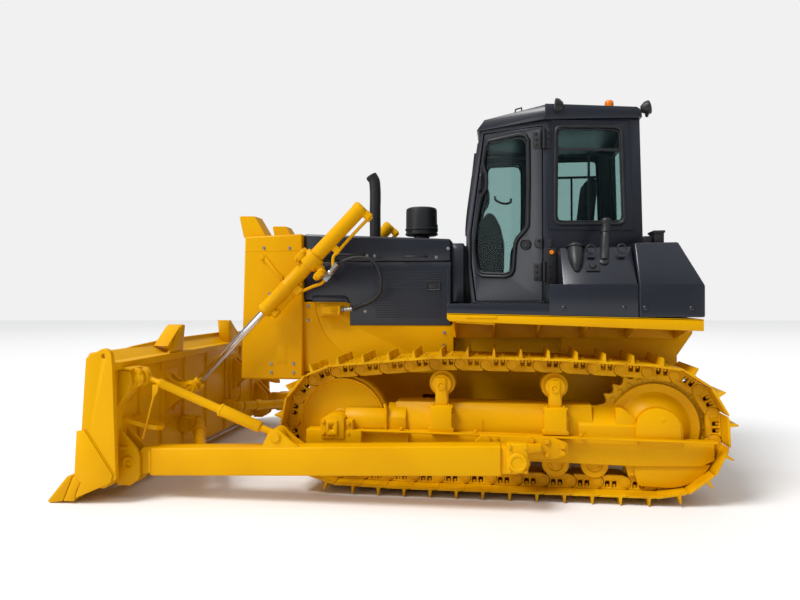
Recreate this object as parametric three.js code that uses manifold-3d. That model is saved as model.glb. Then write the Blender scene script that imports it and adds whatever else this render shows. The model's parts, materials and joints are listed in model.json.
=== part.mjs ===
// Track-type bulldozer with a straight tilting blade, as a three.js scene of named solids.
// Millimetres, +X forward, +Y to the machine's left, +Z up. Heights are from the ground, and
// lengths are from the sprocket axis until the whole machine is centred over its own length.
import * as THREE from "three";
import { mergeVertices } from "three/addons/utils/BufferGeometryUtils.js";
import { ConvexGeometry } from "three/addons/geometries/ConvexGeometry.js";
import Module from "manifold-3d";

const wasm = await Module();
wasm.setup();

// ---- Driving dimensions ---------------------------------------------------------------------
const fitGap = 0.3; // between two fixed pieces that touch
const pinGap = 1.5; // round a pin that turns in its bore
const runGap = 8; // between pieces that move past each other
const roundSides = 24; // sides of a full-size turned piece
const rollerSides = 14;
const smallSides = 12; // sides of a pin or a pipe

// Tracks
const trackGauge = 1880;
const shoeWidth = 510;
const shoeCount = 37;
const grouserHeight = 60;
const grouserThickness = 16;
const plateThickness = 14;
const pinToPlate = 51;
const pinToRail = 55;
const railInner = 58;
const railOuter = 105;
const sprocketPinRadius = 425;
const idlerPinRadius = 410;
const wheelBase = 2430;
const idlerRaise = 10; // idler's lowest pins above the sprocket's
const groundPhase = 0.46; // where the first shoe starts, in shoes
const trackY = trackGauge / 2;
const trackInner = trackY - shoeWidth / 2;
const trackOuter = trackY + shoeWidth / 2;

// Undercarriage
const rollerTread = 82;
const rollerFlange = 100;
const rollerCount = 6;
const firstRollerX = 452;
const lastRollerSetback = 518; // last roller behind the idler
const carrierRadius = 104;
const carriers = [
  { x: 748, z: 857 },
  { x: 1616, z: 868 },
];
const frameHalfWidth = 140;
const frameTop = 711;
const frameShoulder = 578;
const frameBottom = 375;
const frameRear = 470;
const frameFront = wheelBase - 440;
const guardThickness = 40;

// Main frame and rear case
const caseHalfWidth = trackInner - 100;
const caseRear = -390;
const caseFace = -270; // flat rear face, where rear equipment bolts on
const caseFront = 650;
const caseTop = 1280;
const hitchZ = 560;
const bellyBottom = 420;
const bellyHalfWidth = 340;
const hullHalfWidth = caseHalfWidth - 35;
const sideWall = 50;

// Radiator guard and hood
const guardHalfWidth = hullHalfWidth + 50;
const guardBottom = 820;
const guardTop = 2100;
const guardRear = wheelBase + 470;
const guardFrontTop = guardRear + 525;
const guardFrontBottom = guardRear + 570;
const guardWall = 45;
const hoodRear = 1620;
const hoodTopFront = 2120;
const hoodTopRear = 2055;
const hoodSeamFront = 1869;
const hoodSeamRear = 1851;
const panelBottom = 1310;
const panelStepX = guardRear - 428; // ahead of this the panel's lower edge stands higher
const panelStepHeight = 195;
const sheet = 30;
const exhaustX = guardRear - 555;
const exhaustRadius = 50;
const exhaustTop = 2747;
const cleanerX = 1894;
const cleanerRadius = 150;
const cleanerTop = 2398;

// Platform, fenders, tank and side consoles
const fenderHalfWidth = trackOuter;
const fenderFront = 1565;
const fenderRear = -300;
const fenderInner = caseHalfWidth + 15;
const fenderTopFront = 1425;
const fenderTopRear = 1378;
const stripeFront = 62;
const stripeRear = 87;
const deckTop = 1495;
const tankFront = 150;
const tankTop = 1955;
const tankShoulderX = -170;
const tankRearX = -310;
const tankKinkZ = 1620;
const consoleTop = 1930;
const consoleShoulder = 1690;
const consoleSlope = 245; // how far the sloped top runs in from the outer edge

// Cab
const cabWall = 50;
const cabRear = 0;
const cabRearLean = 25;
const cabRearHalf = 620;
const pillarX = 780;
const pillarHalf = 700;
const cabFrontFoot = 1410;
const cabFrontWaist = 1450;
const cabFrontTop = 1325;
const cabWaistLow = 1830;
const cabWaistHigh = 2100;
const cabFrontHalf = 435; // half width where the door's face meets the waist
const cabEaves = 3000;
const roofHeight = 100;
const roofOverhang = 30;
const beaconTop = 3200;
const doorGap = 5;
const glassThickness = 6;
const glassInset = 16;
const consoleFront = pillarX - 25;
const consoleInner = pillarHalf + 35;

// Push arms and blade. The blade's own sizes are measured from its lower pins.
const trunnionRadius = 55;
const trunnionReach = 60; // how far the stub stands inside the arm
const trunnion = { x: 1045, z: 380 };
const armHalfWidth = 80;
const armY = trackOuter + 165 + armHalfWidth;
const armRear = 1160;
const bladeX = wheelBase + 1587;
const pitchPin = { x: bladeX, z: 275 };
const armFront = bladeX - 161;
const bladeHalfWidth = armY + 254;
const bladeTip = { x: bladeX + 561, z: 10 };
const bladeTopFront = { x: bladeX + 244, z: 1115 };
const bladeFoot = { x: bladeX + 358, z: 200 };
const bladeBackX = bladeX + 18;
const bladeTopZ = 1150;
const moldboardThickness = 25;
const moldboardDepth = 150; // how far the curve is hollowed behind its chord
const endPlateThickness = 40;
const braceRear = { x: bladeX - 1186, z: 506 };
const braceFront = { x: bladeX - 90, z: 944 };
const pinRadius = 28;
const eyeRadius = 62;
const eyeHalfWidth = 34;
const earThickness = 30;

// Lift cylinders
const liftY = guardHalfWidth + 145;
const liftTrunnion = { x: guardRear - 139, z: 1870 };
const liftEye = { x: bladeX - 163, z: 761 };
const liftBarrelRadius = 68;
const liftRodRadius = 32;
const liftBarrelAbove = 645; // barrel above its trunnion
const liftBarrelBelow = 633; // barrel below its trunnion
const hoseRadius = 19;
const hoseBlockX = guardRear - 355;
const hoseBlockY = hullHalfWidth + 55;
const hoseFootZ = 1441;

// ---- Finishes -------------------------------------------------------------------------------
const finish = (color, roughness, metalness) => ({ color, roughness, metalness });
const yellow = finish(0xe3a600, 0.45, 0.1);
const slate = finish(0x23282d, 0.5, 0.1);
const steel = finish(0x6a6a66, 0.5, 0.7);
const chrome = finish(0xc8ccd0, 0.15, 1.0);
const rubber = finish(0x151515, 0.8, 0.0);
const cushion = finish(0x1c1d1f, 0.9, 0.0);
const glass = finish(0x9fb8b0, 0.05, 0.0);

// ---- Making solids --------------------------------------------------------------------------
const unitX = new THREE.Vector3(1, 0, 0);
const unitY = new THREE.Vector3(0, 1, 0);
const unitZ = new THREE.Vector3(0, 0, 1);
const inward = new THREE.Vector3(0, -1, 0);

// A closed geometry as a solid that can be joined and cut.
function solidOf(geometry) {
  geometry.deleteAttribute("normal");
  geometry.deleteAttribute("uv");
  const merged = mergeVertices(geometry, 1e-3);
  return new wasm.Manifold(
    new wasm.Mesh({
      numProp: 3,
      vertProperties: new Float32Array(merged.attributes.position.array),
      triVerts: new Uint32Array(merged.index.array),
    }),
  );
}

function geometryOf(solid) {
  const mesh = solid.getMesh();
  const geometry = new THREE.BufferGeometry();
  geometry.setAttribute("position", new THREE.BufferAttribute(mesh.vertProperties, 3));
  geometry.setIndex(new THREE.BufferAttribute(mesh.triVerts, 1));
  geometry.computeVertexNormals();
  return geometry;
}

const join = (...solids) => solids.reduce((whole, solid) => whole.add(solid));
const cut = (whole, ...tools) => tools.reduce((left, tool) => left.subtract(tool), whole);
const points = (...pairs) => pairs.map(([a, b]) => new THREE.Vector2(a, b));

// An outline without the points that lie on a straight line between their neighbours.
function corners(outline) {
  return outline.filter((point, i) => {
    const before = outline[(i + outline.length - 1) % outline.length];
    const after = outline[(i + 1) % outline.length];
    const turn = point.clone().sub(before).cross(after.clone().sub(point));
    return Math.abs(turn) > 0.01 * before.distanceTo(after);
  });
}

// An outline pushed along a direction: its own two axes and that direction are a right-handed set.
function prism(outline, depth, matrix) {
  const shape = new THREE.Shape(corners(outline));
  const geometry = new THREE.ExtrudeGeometry(shape, { depth, bevelEnabled: false });
  return solidOf(geometry.applyMatrix4(matrix));
}

// Outline in (x, z), from y0 to y1.
function acrossY(outline, y0, y1) {
  const matrix = new THREE.Matrix4().makeBasis(unitX, unitZ, inward).setPosition(0, y1, 0);
  return prism(outline, y1 - y0, matrix);
}

// Outline in (y, z), from x0 to x1.
function alongX(outline, x0, x1) {
  const matrix = new THREE.Matrix4().makeBasis(unitY, unitZ, unitX).setPosition(x0, 0, 0);
  return prism(outline, x1 - x0, matrix);
}

// Outline in (x, y), from z0 to z1.
function upZ(outline, z0, z1) {
  const matrix = new THREE.Matrix4().setPosition(0, 0, z0);
  return prism(outline, z1 - z0, matrix);
}

function box(x0, x1, y0, y1, z0, z1) {
  const geometry = new THREE.BoxGeometry(x1 - x0, y1 - y0, z1 - z0);
  return solidOf(geometry.translate((x0 + x1) / 2, (y0 + y1) / 2, (z0 + z1) / 2));
}

// A turned piece: profile of (radius, distance along the axis), the axis starting at `from`.
function turned(profile, from, direction, sides = roundSides) {
  const geometry = new THREE.LatheGeometry(profile, sides);
  const turn = new THREE.Quaternion().setFromUnitVectors(unitY, direction.clone().normalize());
  return solidOf(geometry.applyQuaternion(turn).translate(from.x, from.y, from.z));
}

function rod(from, to, radius, sides = smallSides) {
  const axis = to.clone().sub(from);
  const length = axis.length();
  return turned(points([0, 0], [radius, 0], [radius, length], [0, length]), from, axis, sides);
}

const at = (x, y, z) => new THREE.Vector3(x, y, z);
const pinAcross = (point, y0, y1, radius, sides) =>
  rod(at(point.x, y0, point.z), at(point.x, y1, point.z), radius, sides);
const mix = (a, b, t) => a + (b - a) * t;

// ---- The scene ------------------------------------------------------------------------------
const machine = new THREE.Group();
const otherSide = new THREE.Group();
otherSide.scale.y = -1;
machine.add(otherSide);

function place(name, solid, look, parent = machine) {
  const mesh = new THREE.Mesh(geometryOf(solid), new THREE.MeshStandardMaterial(look));
  mesh.name = name;
  parent.add(mesh);
}

function placePair(name, solid, look) {
  place(`left_${name}`, solid, look);
  place(`right_${name}`, solid, look, otherSide);
}

// ---- Track path: the line through the track pins --------------------------------------------
const pinToTip = pinToPlate + plateThickness + grouserHeight;
const pinGround = pinToTip; // height of the pins of the shoes that stand on the ground
const sprocketHub = { x: 0, z: pinGround + sprocketPinRadius };
const idlerHub = { x: wheelBase, z: pinGround + idlerRaise + idlerPinRadius };
const lastRollerX = wheelBase - lastRollerSetback;
const railSag = 2; // chords of the loop lie this much inside its arcs

function arcPoints(centre, radius, from, to, steps) {
  return Array.from({ length: steps + 1 }, (_, i) => {
    const angle = mix(from, to, i / steps);
    return new THREE.Vector2(centre.x + radius * Math.cos(angle), centre.z + radius * Math.sin(angle));
  });
}

// Angle of the normal of the common tangent that runs above two circles, from a to b.
function tangentNormal(a, radiusA, b, radiusB) {
  const span = Math.hypot(b.x - a.x, b.z - a.z);
  const slope = Math.atan2(b.z - a.z, b.x - a.x);
  return slope + Math.acos((radiusA - radiusB) / span);
}

// Angle of the normal of the common tangent that runs below them.
function lowerTangentNormal(a, radiusA, b, radiusB) {
  const span = Math.hypot(b.x - a.x, b.z - a.z);
  const slope = Math.atan2(b.z - a.z, b.x - a.x);
  return slope - Math.acos((radiusA - radiusB) / span);
}

// Clockwise from the ground under the sprocket: rear arc, top run over the carriers, front arc,
// and down to the ground ahead of the first roller.
function pinPath() {
  const [rear, front] = carriers;
  const carrierPin = carrierRadius + pinToRail;
  const leaveSprocket = tangentNormal(sprocketHub, sprocketPinRadius, rear, carrierPin);
  const meetIdler = tangentNormal(front, carrierPin, idlerHub, idlerPinRadius);
  const steps = 60;
  const under = -Math.PI / 2;
  const rearArc = arcPoints(sprocketHub, sprocketPinRadius, under, leaveSprocket - 2 * Math.PI, steps);
  const overRear = tangentNormal(rear, carrierPin, front, carrierPin);
  const carrierArcs = [
    ...arcPoints(rear, carrierPin, leaveSprocket, overRear, 3),
    ...arcPoints(front, carrierPin, overRear, meetIdler, 3),
  ];
  const lift = { x: lastRollerX + 40, z: pinGround };
  const leaveIdler = lowerTangentNormal(lift, 0, idlerHub, idlerPinRadius);
  const frontArc = arcPoints(idlerHub, idlerPinRadius, meetIdler, leaveIdler, steps);
  return [...rearArc, ...carrierArcs, ...frontArc, new THREE.Vector2(lift.x, lift.z)];
}

// Evenly spaced frames along the closed path: a point, the way along, and the way out.
function walk(path, count, phase) {
  const closed = [...path, path[0]];
  const lengths = [0];
  closed.slice(1).forEach((p, i) => lengths.push(lengths[i] + p.distanceTo(closed[i])));
  const total = lengths[lengths.length - 1];
  const pointAt = (s) => {
    const wrapped = ((s % total) + total) % total;
    const i = lengths.findIndex((l) => l > wrapped) - 1;
    const t = (wrapped - lengths[i]) / (lengths[i + 1] - lengths[i]);
    return closed[i].clone().lerp(closed[i + 1], t);
  };
  return Array.from({ length: count }, (_, i) => pointAt(((i + phase) * total) / count));
}

// The closed outline at a distance outside the pins.
function offsetLoop(loop, distance) {
  return loop.map((p, i) => {
    const before = loop[(i + loop.length - 1) % loop.length];
    const after = loop[(i + 1) % loop.length];
    const inDir = p.clone().sub(before).normalize();
    const outDir = after.clone().sub(p).normalize();
    const along = inDir.clone().add(outDir).normalize();
    const reach = distance / Math.cos(inDir.angleTo(outDir) / 2);
    return new THREE.Vector2(p.x - along.y * reach, p.y + along.x * reach);
  });
}

// Outer line of the shoes, with a grouser at the trailing end of each.
function shoeOutline(pins) {
  const outer = pinToPlate + plateThickness;
  const inset = 12;
  return pins.flatMap((p, i) => {
    const next = pins[(i + 1) % pins.length];
    const along = next.clone().sub(p).normalize();
    const out = new THREE.Vector2(-along.y, along.x);
    const pitch = next.distanceTo(p);
    const spot = (a, b) => p.clone().addScaledVector(along, a).addScaledVector(out, b);
    return [
      spot(inset, outer),
      spot(inset + 4, pinToTip),
      spot(inset + 4 + grouserThickness, pinToTip),
      spot(inset + 2 * grouserThickness, outer),
      spot(pitch - inset, outer),
    ];
  });
}

function trackLoop() {
  const path = pinPath();
  const pins = walk(path, shoeCount, groundPhase);
  const railPins = walk(path, shoeCount * 3, groundPhase * 3);
  const ring = (outer, inner, y0, y1) => cut(acrossY(outer, y0, y1), acrossY(inner, y0 - 1, y1 + 1));
  const shoes = ring(
    shoeOutline(pins),
    offsetLoop(pins, pinToPlate - railSag),
    trackY - shoeWidth / 2,
    trackY + shoeWidth / 2,
  );
  const railRing = (y0, y1) => ring(
    offsetLoop(railPins, pinToPlate),
    offsetLoop(railPins, -pinToRail),
    y0,
    y1,
  );
  return join(
    shoes,
    railRing(trackY - railOuter, trackY - railInner),
    railRing(trackY + railInner, trackY + railOuter),
  );
}

placePair("track", trackLoop(), steel);

// ---- Sprocket, final drive ------------------------------------------------------------------
const sprocketHalf = 30;
const sprocketTeeth = 27;
const sprocketBore = 150;
const driveRadius = 330;
const innerDriveRadius = 300;

function sprocket() {
  const tip = sprocketPinRadius + 8;
  const root = sprocketPinRadius - 45;
  const outline = Array.from({ length: sprocketTeeth * 4 }, (_, i) => {
    const angle = (i + 0.5) * ((2 * Math.PI) / (sprocketTeeth * 4));
    const radius = i % 4 < 2 ? root : tip;
    return new THREE.Vector2(
      sprocketHub.x + radius * Math.cos(angle),
      sprocketHub.z + radius * Math.sin(angle),
    );
  });
  const disc = acrossY(outline, trackY - sprocketHalf, trackY + sprocketHalf);
  return cut(disc, pinAcross(sprocketHub, 0, 2 * trackY, sprocketBore, roundSides));
}

function finalDrive() {
  const outerFace = trackY + sprocketHalf + fitGap;
  const cover = turned(
    points([0, 0], [driveRadius, 0], [driveRadius, 30], [driveRadius - 30, 62], [0, 82]),
    at(sprocketHub.x, outerFace, sprocketHub.z),
    unitY,
  );
  const hub = pinAcross(sprocketHub, trackY - 60, outerFace + 1, sprocketBore - pinGap, roundSides);
  const innerCase = pinAcross(
    sprocketHub,
    caseHalfWidth + fitGap,
    trackY - sprocketHalf - fitGap,
    innerDriveRadius,
    roundSides,
  );
  return join(cover, hub, innerCase);
}

placePair("sprocket", sprocket(), steel);
placePair("final_drive", finalDrive(), yellow);

// ---- Idler with its yoke --------------------------------------------------------------------
function idler() {
  const tread = idlerPinRadius - pinToRail - railSag;
  const flange = tread + 20;
  const rimWidth = railOuter - 2;
  const web = 25;
  const hubRadius = 95;
  const profile = points(
    [0, -rimWidth],
    [hubRadius, -rimWidth],
    [hubRadius, -web],
    [tread - 70, -web],
    [tread - 50, -rimWidth],
    [tread, -rimWidth],
    [tread, -railInner + 4],
    [flange, -railInner + 12],
    [flange, railInner - 12],
    [tread, railInner - 4],
    [tread, rimWidth],
    [tread - 50, rimWidth],
    [tread - 70, web],
    [hubRadius, web],
    [hubRadius, rimWidth],
    [0, rimWidth],
  );
  const wheel = turned(profile, at(idlerHub.x, trackY, idlerHub.z), unitY, roundSides);
  const yokeRear = frameFront + fitGap;
  const yokeEnd = idlerHub.x + 95;
  const yokeHalf = 62;
  const yokeInner = railOuter + 5;
  const arm = (side) => {
    const near = trackY + side * yokeInner;
    const far = trackY + side * (frameHalfWidth - 2);
    return box(
      yokeRear,
      yokeEnd,
      Math.min(near, far),
      Math.max(near, far),
      idlerHub.z - yokeHalf,
      idlerHub.z + yokeHalf,
    );
  };
  const shaft = pinAcross(
    idlerHub,
    trackY - frameHalfWidth + 4,
    trackY + frameHalfWidth - 4,
    45,
    smallSides,
  );
  return join(wheel, arm(1), arm(-1), shaft);
}

placePair("idler", idler(), yellow);

// ---- Track frame with its carrier rollers ---------------------------------------------------
const guardOuter = trackY + frameHalfWidth + 15;
const capRadius = 160;

function frameBeam() {
  const inner = trackY - frameHalfWidth;
  const outer = trackY + frameHalfWidth;
  const section = points(
    [inner, frameBottom],
    [outer, frameBottom],
    [outer, frameShoulder],
    [outer - 60, frameTop],
    [inner, frameTop],
  );
  return alongX(section, frameRear, frameFront);
}

// The long plate outside the rollers, which carries the sprocket's outer bearing.
function outerGuard() {
  const outline = points(
    [frameFront, 300],
    [frameFront, 500],
    [200, 480],
    [-400, 474],
    [-400, 330],
    [-310, 285],
    [150, 270],
  );
  const plate = acrossY(outline, guardOuter - guardThickness, guardOuter);
  const cap = acrossY(
    [
      new THREE.Vector2(sprocketHub.x - capRadius, 460),
      new THREE.Vector2(sprocketHub.x + capRadius, 460),
      ...arcPoints(sprocketHub, capRadius, 0, Math.PI, 10),
    ],
    guardOuter - guardThickness,
    guardOuter + 25,
  );
  return join(plate, cap);
}

function carrier({ x, z }) {
  const roller = pinAcross(
    { x, z },
    trackY - railOuter + 8,
    trackY + railOuter - 8,
    carrierRadius - railSag,
    18,
  );
  const shaft = pinAcross({ x, z }, trackY, guardOuter + 12, 34, smallSides);
  const clamp = pinAcross({ x, z }, trackY + railOuter, guardOuter + 10, 74, 14);
  const post = box(x - 50, x + 50, trackY + railOuter, guardOuter, frameTop - 90, z);
  const foot = box(x - 95, x + 95, guardOuter - 55, guardOuter + 12, 503, 640);
  return join(roller, shaft, clamp, post, foot);
}

// Stub on the frame's side that the push arm turns on.
function armTrunnion() {
  return pinAcross(trunnion, guardOuter - 20, armY - armHalfWidth + trunnionReach, trunnionRadius, 18);
}

placePair(
  "track_frame",
  join(frameBeam(), outerGuard(), ...carriers.map(carrier), armTrunnion()),
  yellow,
);

// ---- Track rollers, joined by the bars that hold their shafts -------------------------------
function trackRollers() {
  const z = pinGround + pinToRail + rollerTread + fitGap;
  const barOuter = railOuter + 9;
  const barInner = railOuter;
  const inFlange = railInner - 6;
  const roller = (x) => {
    const half = railOuter - 6;
    const profile = points(
      [0, -half],
      [rollerTread, -half],
      [rollerTread, -inFlange],
      [rollerFlange, -inFlange + 8],
      [rollerFlange, inFlange - 8],
      [rollerTread, inFlange],
      [rollerTread, half],
      [0, half],
    );
    const body = turned(profile, at(x, trackY, z), unitY, rollerSides);
    return join(body, pinAcross({ x, z }, trackY - barOuter, trackY + barOuter, 30, 8));
  };
  const xs = Array.from(
    { length: rollerCount },
    (_, i) => mix(firstRollerX, lastRollerX, i / (rollerCount - 1)),
  );
  const first = xs[0] - 40;
  const last = xs[rollerCount - 1] + 40;
  const bar = (y0, y1) => box(first, last, y0, y1, z - 20, z + 20);
  return join(
    ...xs.map(roller),
    bar(trackY - barOuter, trackY - barInner),
    bar(trackY + barInner, trackY + barOuter),
  );
}

placePair("track_rollers", trackRollers(), yellow);

// ---- Main frame, rear case, equalizer bar ---------------------------------------------------
const frameRailTop = 950;
const barX = 1760;
const barTop = 640;
const barBottom = 500;

function mainFrame() {
  const half = caseHalfWidth;
  const rearProfile = points(
    [caseFace + 70, bellyBottom],
    [caseFront, bellyBottom],
    [caseFront, caseTop],
    [caseRear, caseTop],
    [caseRear, caseTop - 40],
    [caseFace, caseTop - 220],
    [caseFace, bellyBottom + 70],
  );
  const rearCase = acrossY(rearProfile, -half, half);
  const belly = box(
    caseFront - 1,
    guardRear - fitGap,
    -bellyHalfWidth,
    bellyHalfWidth,
    bellyBottom,
    frameRailTop,
  );
  const tray = box(
    hoodRear - 60,
    guardRear - fitGap,
    -hullHalfWidth,
    hullHalfWidth,
    frameRailTop - 60,
    frameRailTop,
  );
  const wall = (y0, y1) =>
    acrossY(
      points(
        [hoodRear - 60, frameRailTop - 1],
        [guardRear - fitGap, frameRailTop - 1],
        [guardRear - fitGap, panelBottom + panelStepHeight - fitGap],
        [panelStepX + fitGap, panelBottom + panelStepHeight - fitGap],
        [panelStepX + fitGap, panelBottom - fitGap],
        [hoodRear - 60, panelBottom - fitGap],
      ),
      y0,
      y1,
    );
  const hoseBlock = box(
    hoseBlockX,
    hoseBlockX + 75,
    hullHalfWidth - 1,
    hoseBlockY + 40,
    hoseFootZ - 32,
    hoseFootZ + 32,
  );
  const transmission = box(caseFront - 1, hoodRear - 59, -half + 190, half - 190, 940, 1240);
  const slot = box(barX - 95, barX + 95, -half, half, bellyBottom - 1, barTop + 30);
  const hitch = join(
    box(caseFace - 90, caseFace + 100, -150, 150, hitchZ - 95, hitchZ + 95),
    box(caseFace - 210, caseFace, -75, 75, hitchZ + 35, hitchZ + 75),
    box(caseFace - 210, caseFace, -75, 75, hitchZ - 75, hitchZ - 35),
  );
  return join(
    cut(join(rearCase, belly), slot),
    tray,
    wall(hullHalfWidth - sideWall, hullHalfWidth),
    wall(-hullHalfWidth, -hullHalfWidth + sideWall),
    hoseBlock,
    hoseBlock.mirror([0, 1, 0]),
    transmission,
    hitch,
  );
}

function equalizerBar() {
  const reach = trackY - frameHalfWidth - fitGap;
  const middle = 450;
  const outline = points(
    [-reach, barBottom + 30],
    [-middle, barBottom],
    [middle, barBottom],
    [reach, barBottom + 30],
    [reach, barTop - 40],
    [middle, barTop],
    [-middle, barTop],
    [-reach, barTop - 40],
  );
  return alongX(outline, barX - 80, barX + 80);
}

place("main_frame", mainFrame(), yellow);
place("equalizer_bar", equalizerBar(), yellow);

// ---- Engine, radiator guard, hood -----------------------------------------------------------
const guardFrontAt = (z) => mix(
  guardFrontBottom,
  guardFrontTop,
  (z - guardBottom) / (guardTop - guardBottom),
);
const hoodTopAt = (x) => mix(hoodTopRear, hoodTopFront, (x - hoodRear) / (guardRear - hoodRear));
const hoodSeamAt = (x) => mix(hoodSeamRear, hoodSeamFront, (x - hoodRear) / (guardRear - hoodRear));
const lampY = 440;
const lampHalf = 95;

function radiatorGuard() {
  const half = guardHalfWidth;
  const profile = points(
    [guardRear, guardBottom],
    [guardFrontBottom, guardBottom],
    [guardFrontTop, guardTop],
    [guardRear, hoodTopFront],
  );
  const hollow = acrossY(
    points(
      [guardRear - 1, guardBottom + guardWall],
      [guardFrontBottom + 50, guardBottom + guardWall],
      [guardFrontBottom + 50, guardTop - guardWall],
      [guardRear - 1, guardTop - guardWall],
    ),
    -half + guardWall,
    half - guardWall,
  );
  const cowl = (y) =>
    acrossY(
      points(
        [guardRear + 300, guardTop + 8],
        [guardFrontBottom - 20, guardTop - 40],
        [guardFrontBottom + 10, guardTop + 20],
        [guardFrontBottom + 30, guardTop + 190],
        [guardFrontBottom - 110, guardTop + 188],
      ),
      y - lampHalf,
      y + lampHalf,
    );
  const bracket = (side) => {
    const inner = side * (half - 1);
    const outer = side * (liftY - liftBarrelRadius - 42);
    return box(
      guardRear + 0.5,
      guardRear + 130,
      Math.min(inner, outer),
      Math.max(inner, outer),
      1760,
      1960,
    );
  };
  return join(
    cut(acrossY(profile, -half, half), hollow),
    cowl(lampY),
    cowl(-lampY),
    bracket(1),
    bracket(-1),
  );
}

function grille() {
  const half = guardHalfWidth - guardWall - fitGap;
  const low = guardBottom + guardWall + fitGap;
  const high = guardTop - guardWall - fitGap;
  const outline = points(
    [guardFrontAt(low) - 60, low],
    [guardFrontAt(low) - 25, low],
    [guardFrontAt(high) - 25, high],
    [guardFrontAt(high) - 60, high],
  );
  return acrossY(outline, -half, half);
}

function hood() {
  const half = hullHalfWidth;
  const front = guardRear - fitGap;
  const profile = points(
    [hoodRear, hoodSeamAt(hoodRear)],
    [front, hoodSeamAt(front)],
    [front, hoodTopAt(front)],
    [hoodRear, hoodTopAt(hoodRear)],
  );
  const under = acrossY(
    points(
      [hoodRear - 1, hoodSeamAt(hoodRear) - 20],
      [front + 1, hoodSeamAt(front) - 20],
      [front + 1, hoodTopAt(front) - sheet],
      [hoodRear - 1, hoodTopAt(hoodRear) - sheet],
    ),
    -half + sheet,
    half - sheet,
  );
  const cowlHalf = hullHalfWidth - 50;
  const cowl = box(hoodRear - 145, hoodRear + 1, -cowlHalf, cowlHalf, deckTop + 3, hoodTopRear - 25);
  return join(cut(acrossY(profile, -half, half), under), cowl);
}

function hoodPanel() {
  const front = guardRear - fitGap;
  const outline = points(
    [hoodRear, panelBottom],
    [panelStepX, panelBottom],
    [panelStepX, panelBottom + panelStepHeight],
    [front, panelBottom + panelStepHeight],
    [front, hoodSeamAt(front) - fitGap],
    [hoodRear, hoodSeamAt(hoodRear) - fitGap],
  );
  return acrossY(outline, hullHalfWidth - sheet, hullHalfWidth);
}

function exhaustPipe() {
  const base = at(exhaustX, 0, hoodTopAt(exhaustX) + fitGap + 3);
  const stack = rod(base, at(exhaustX, 0, exhaustTop - 60), exhaustRadius, 16);
  const mouth = rod(
    at(exhaustX, 0, exhaustTop - 110),
    at(exhaustX + 70, 0, exhaustTop - 10),
    exhaustRadius,
    16,
  );
  return join(stack, mouth);
}

function preCleaner() {
  const base = hoodTopAt(cleanerX) + fitGap + 10;
  const profile = points(
    [0, 0],
    [75, 0],
    [75, 60],
    [cleanerRadius - 8, 66],
    [cleanerRadius - 8, 190],
    [cleanerRadius, 196],
    [cleanerRadius, cleanerTop - base - 30],
    [cleanerRadius - 30, cleanerTop - base],
    [0, cleanerTop - base],
  );
  return turned(profile, at(cleanerX, 0, base), unitZ, 20);
}

place("engine_block", box(1700, 2780, -310, 310, frameRailTop + fitGap, 1780), steel);
place("radiator_guard", radiatorGuard(), yellow);
place("grille", grille(), slate);
place("hood", hood(), slate);
placePair("hood_panel", hoodPanel(), slate);
place("exhaust_pipe", exhaustPipe(), slate);
place("pre_cleaner", preCleaner(), slate);

// ---- Platform, fenders, tank, side consoles -------------------------------------------------
const fenderTopAt = (x) => mix(
  fenderTopRear,
  fenderTopFront,
  (x - fenderRear) / (fenderFront - fenderRear),
);
const fenderFootAt = (x) => fenderTopAt(x) - mix(
  stripeRear,
  stripeFront,
  (x - fenderRear) / (fenderFront - fenderRear),
);

function fender() {
  const outline = points(
    [fenderRear, fenderFootAt(fenderRear)],
    [fenderFront, fenderFootAt(fenderFront)],
    [fenderFront, fenderTopAt(fenderFront)],
    [fenderRear, fenderTopAt(fenderRear)],
  );
  const pocket = points(
    [fenderRear + sheet, fenderFootAt(fenderRear) - 1],
    [fenderFront - sheet, fenderFootAt(fenderFront) - 1],
    [fenderFront - sheet, fenderTopAt(fenderFront) - sheet],
    [fenderRear + sheet, fenderTopAt(fenderRear) - sheet],
  );
  const shell = cut(
    acrossY(outline, fenderInner, fenderHalfWidth),
    acrossY(pocket, fenderInner - 1, fenderHalfWidth - sheet),
  );
  const support = (x) =>
    alongX(
      points([fenderInner, 1200], [fenderInner + 60, 1200], [fenderHalfWidth - 60, fenderFootAt(x) + 10],
        [fenderHalfWidth - 60, fenderTopAt(x) - sheet + 1], [fenderInner, fenderTopAt(x) - sheet + 1]),
      x - 10,
      x + 10,
    );
  return join(shell, support(fenderRear + 60), support(190), support(900), support(fenderFront - 45));
}

function platform() {
  const outline = points(
    [tankFront + fitGap, fenderTopAt(tankFront) + fitGap],
    [fenderFront, fenderTopAt(fenderFront) + fitGap],
    [fenderFront, deckTop],
    [tankFront + fitGap, deckTop],
  );
  return acrossY(outline, -fenderHalfWidth, fenderHalfWidth);
}

function fuelTank() {
  const outline = points(
    [tankRearX, fenderTopAt(tankRearX) + fitGap],
    [tankFront, fenderTopAt(tankFront) + fitGap],
    [tankFront, tankTop],
    [tankShoulderX, tankTop - 5],
    [tankRearX, tankKinkZ],
  );
  const cabBay = box(
    cabRear - 15,
    tankFront + 1,
    -consoleInner + 15,
    consoleInner - 15,
    1000,
    tankTop + 100,
  );
  return cut(acrossY(outline, -fenderHalfWidth, fenderHalfWidth), cabBay);
}

function sideConsole() {
  const outline = points(
    [consoleInner, deckTop + fitGap],
    [fenderHalfWidth, deckTop + fitGap],
    [fenderHalfWidth, consoleShoulder],
    [fenderHalfWidth - consoleSlope, consoleTop],
    [consoleInner, consoleTop],
  );
  return alongX(outline, tankFront + fitGap, consoleFront);
}

placePair("fender", fender(), yellow);
place("platform", platform(), slate);
place("fuel_tank", fuelTank(), slate);
placePair("console", sideConsole(), slate);

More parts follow.
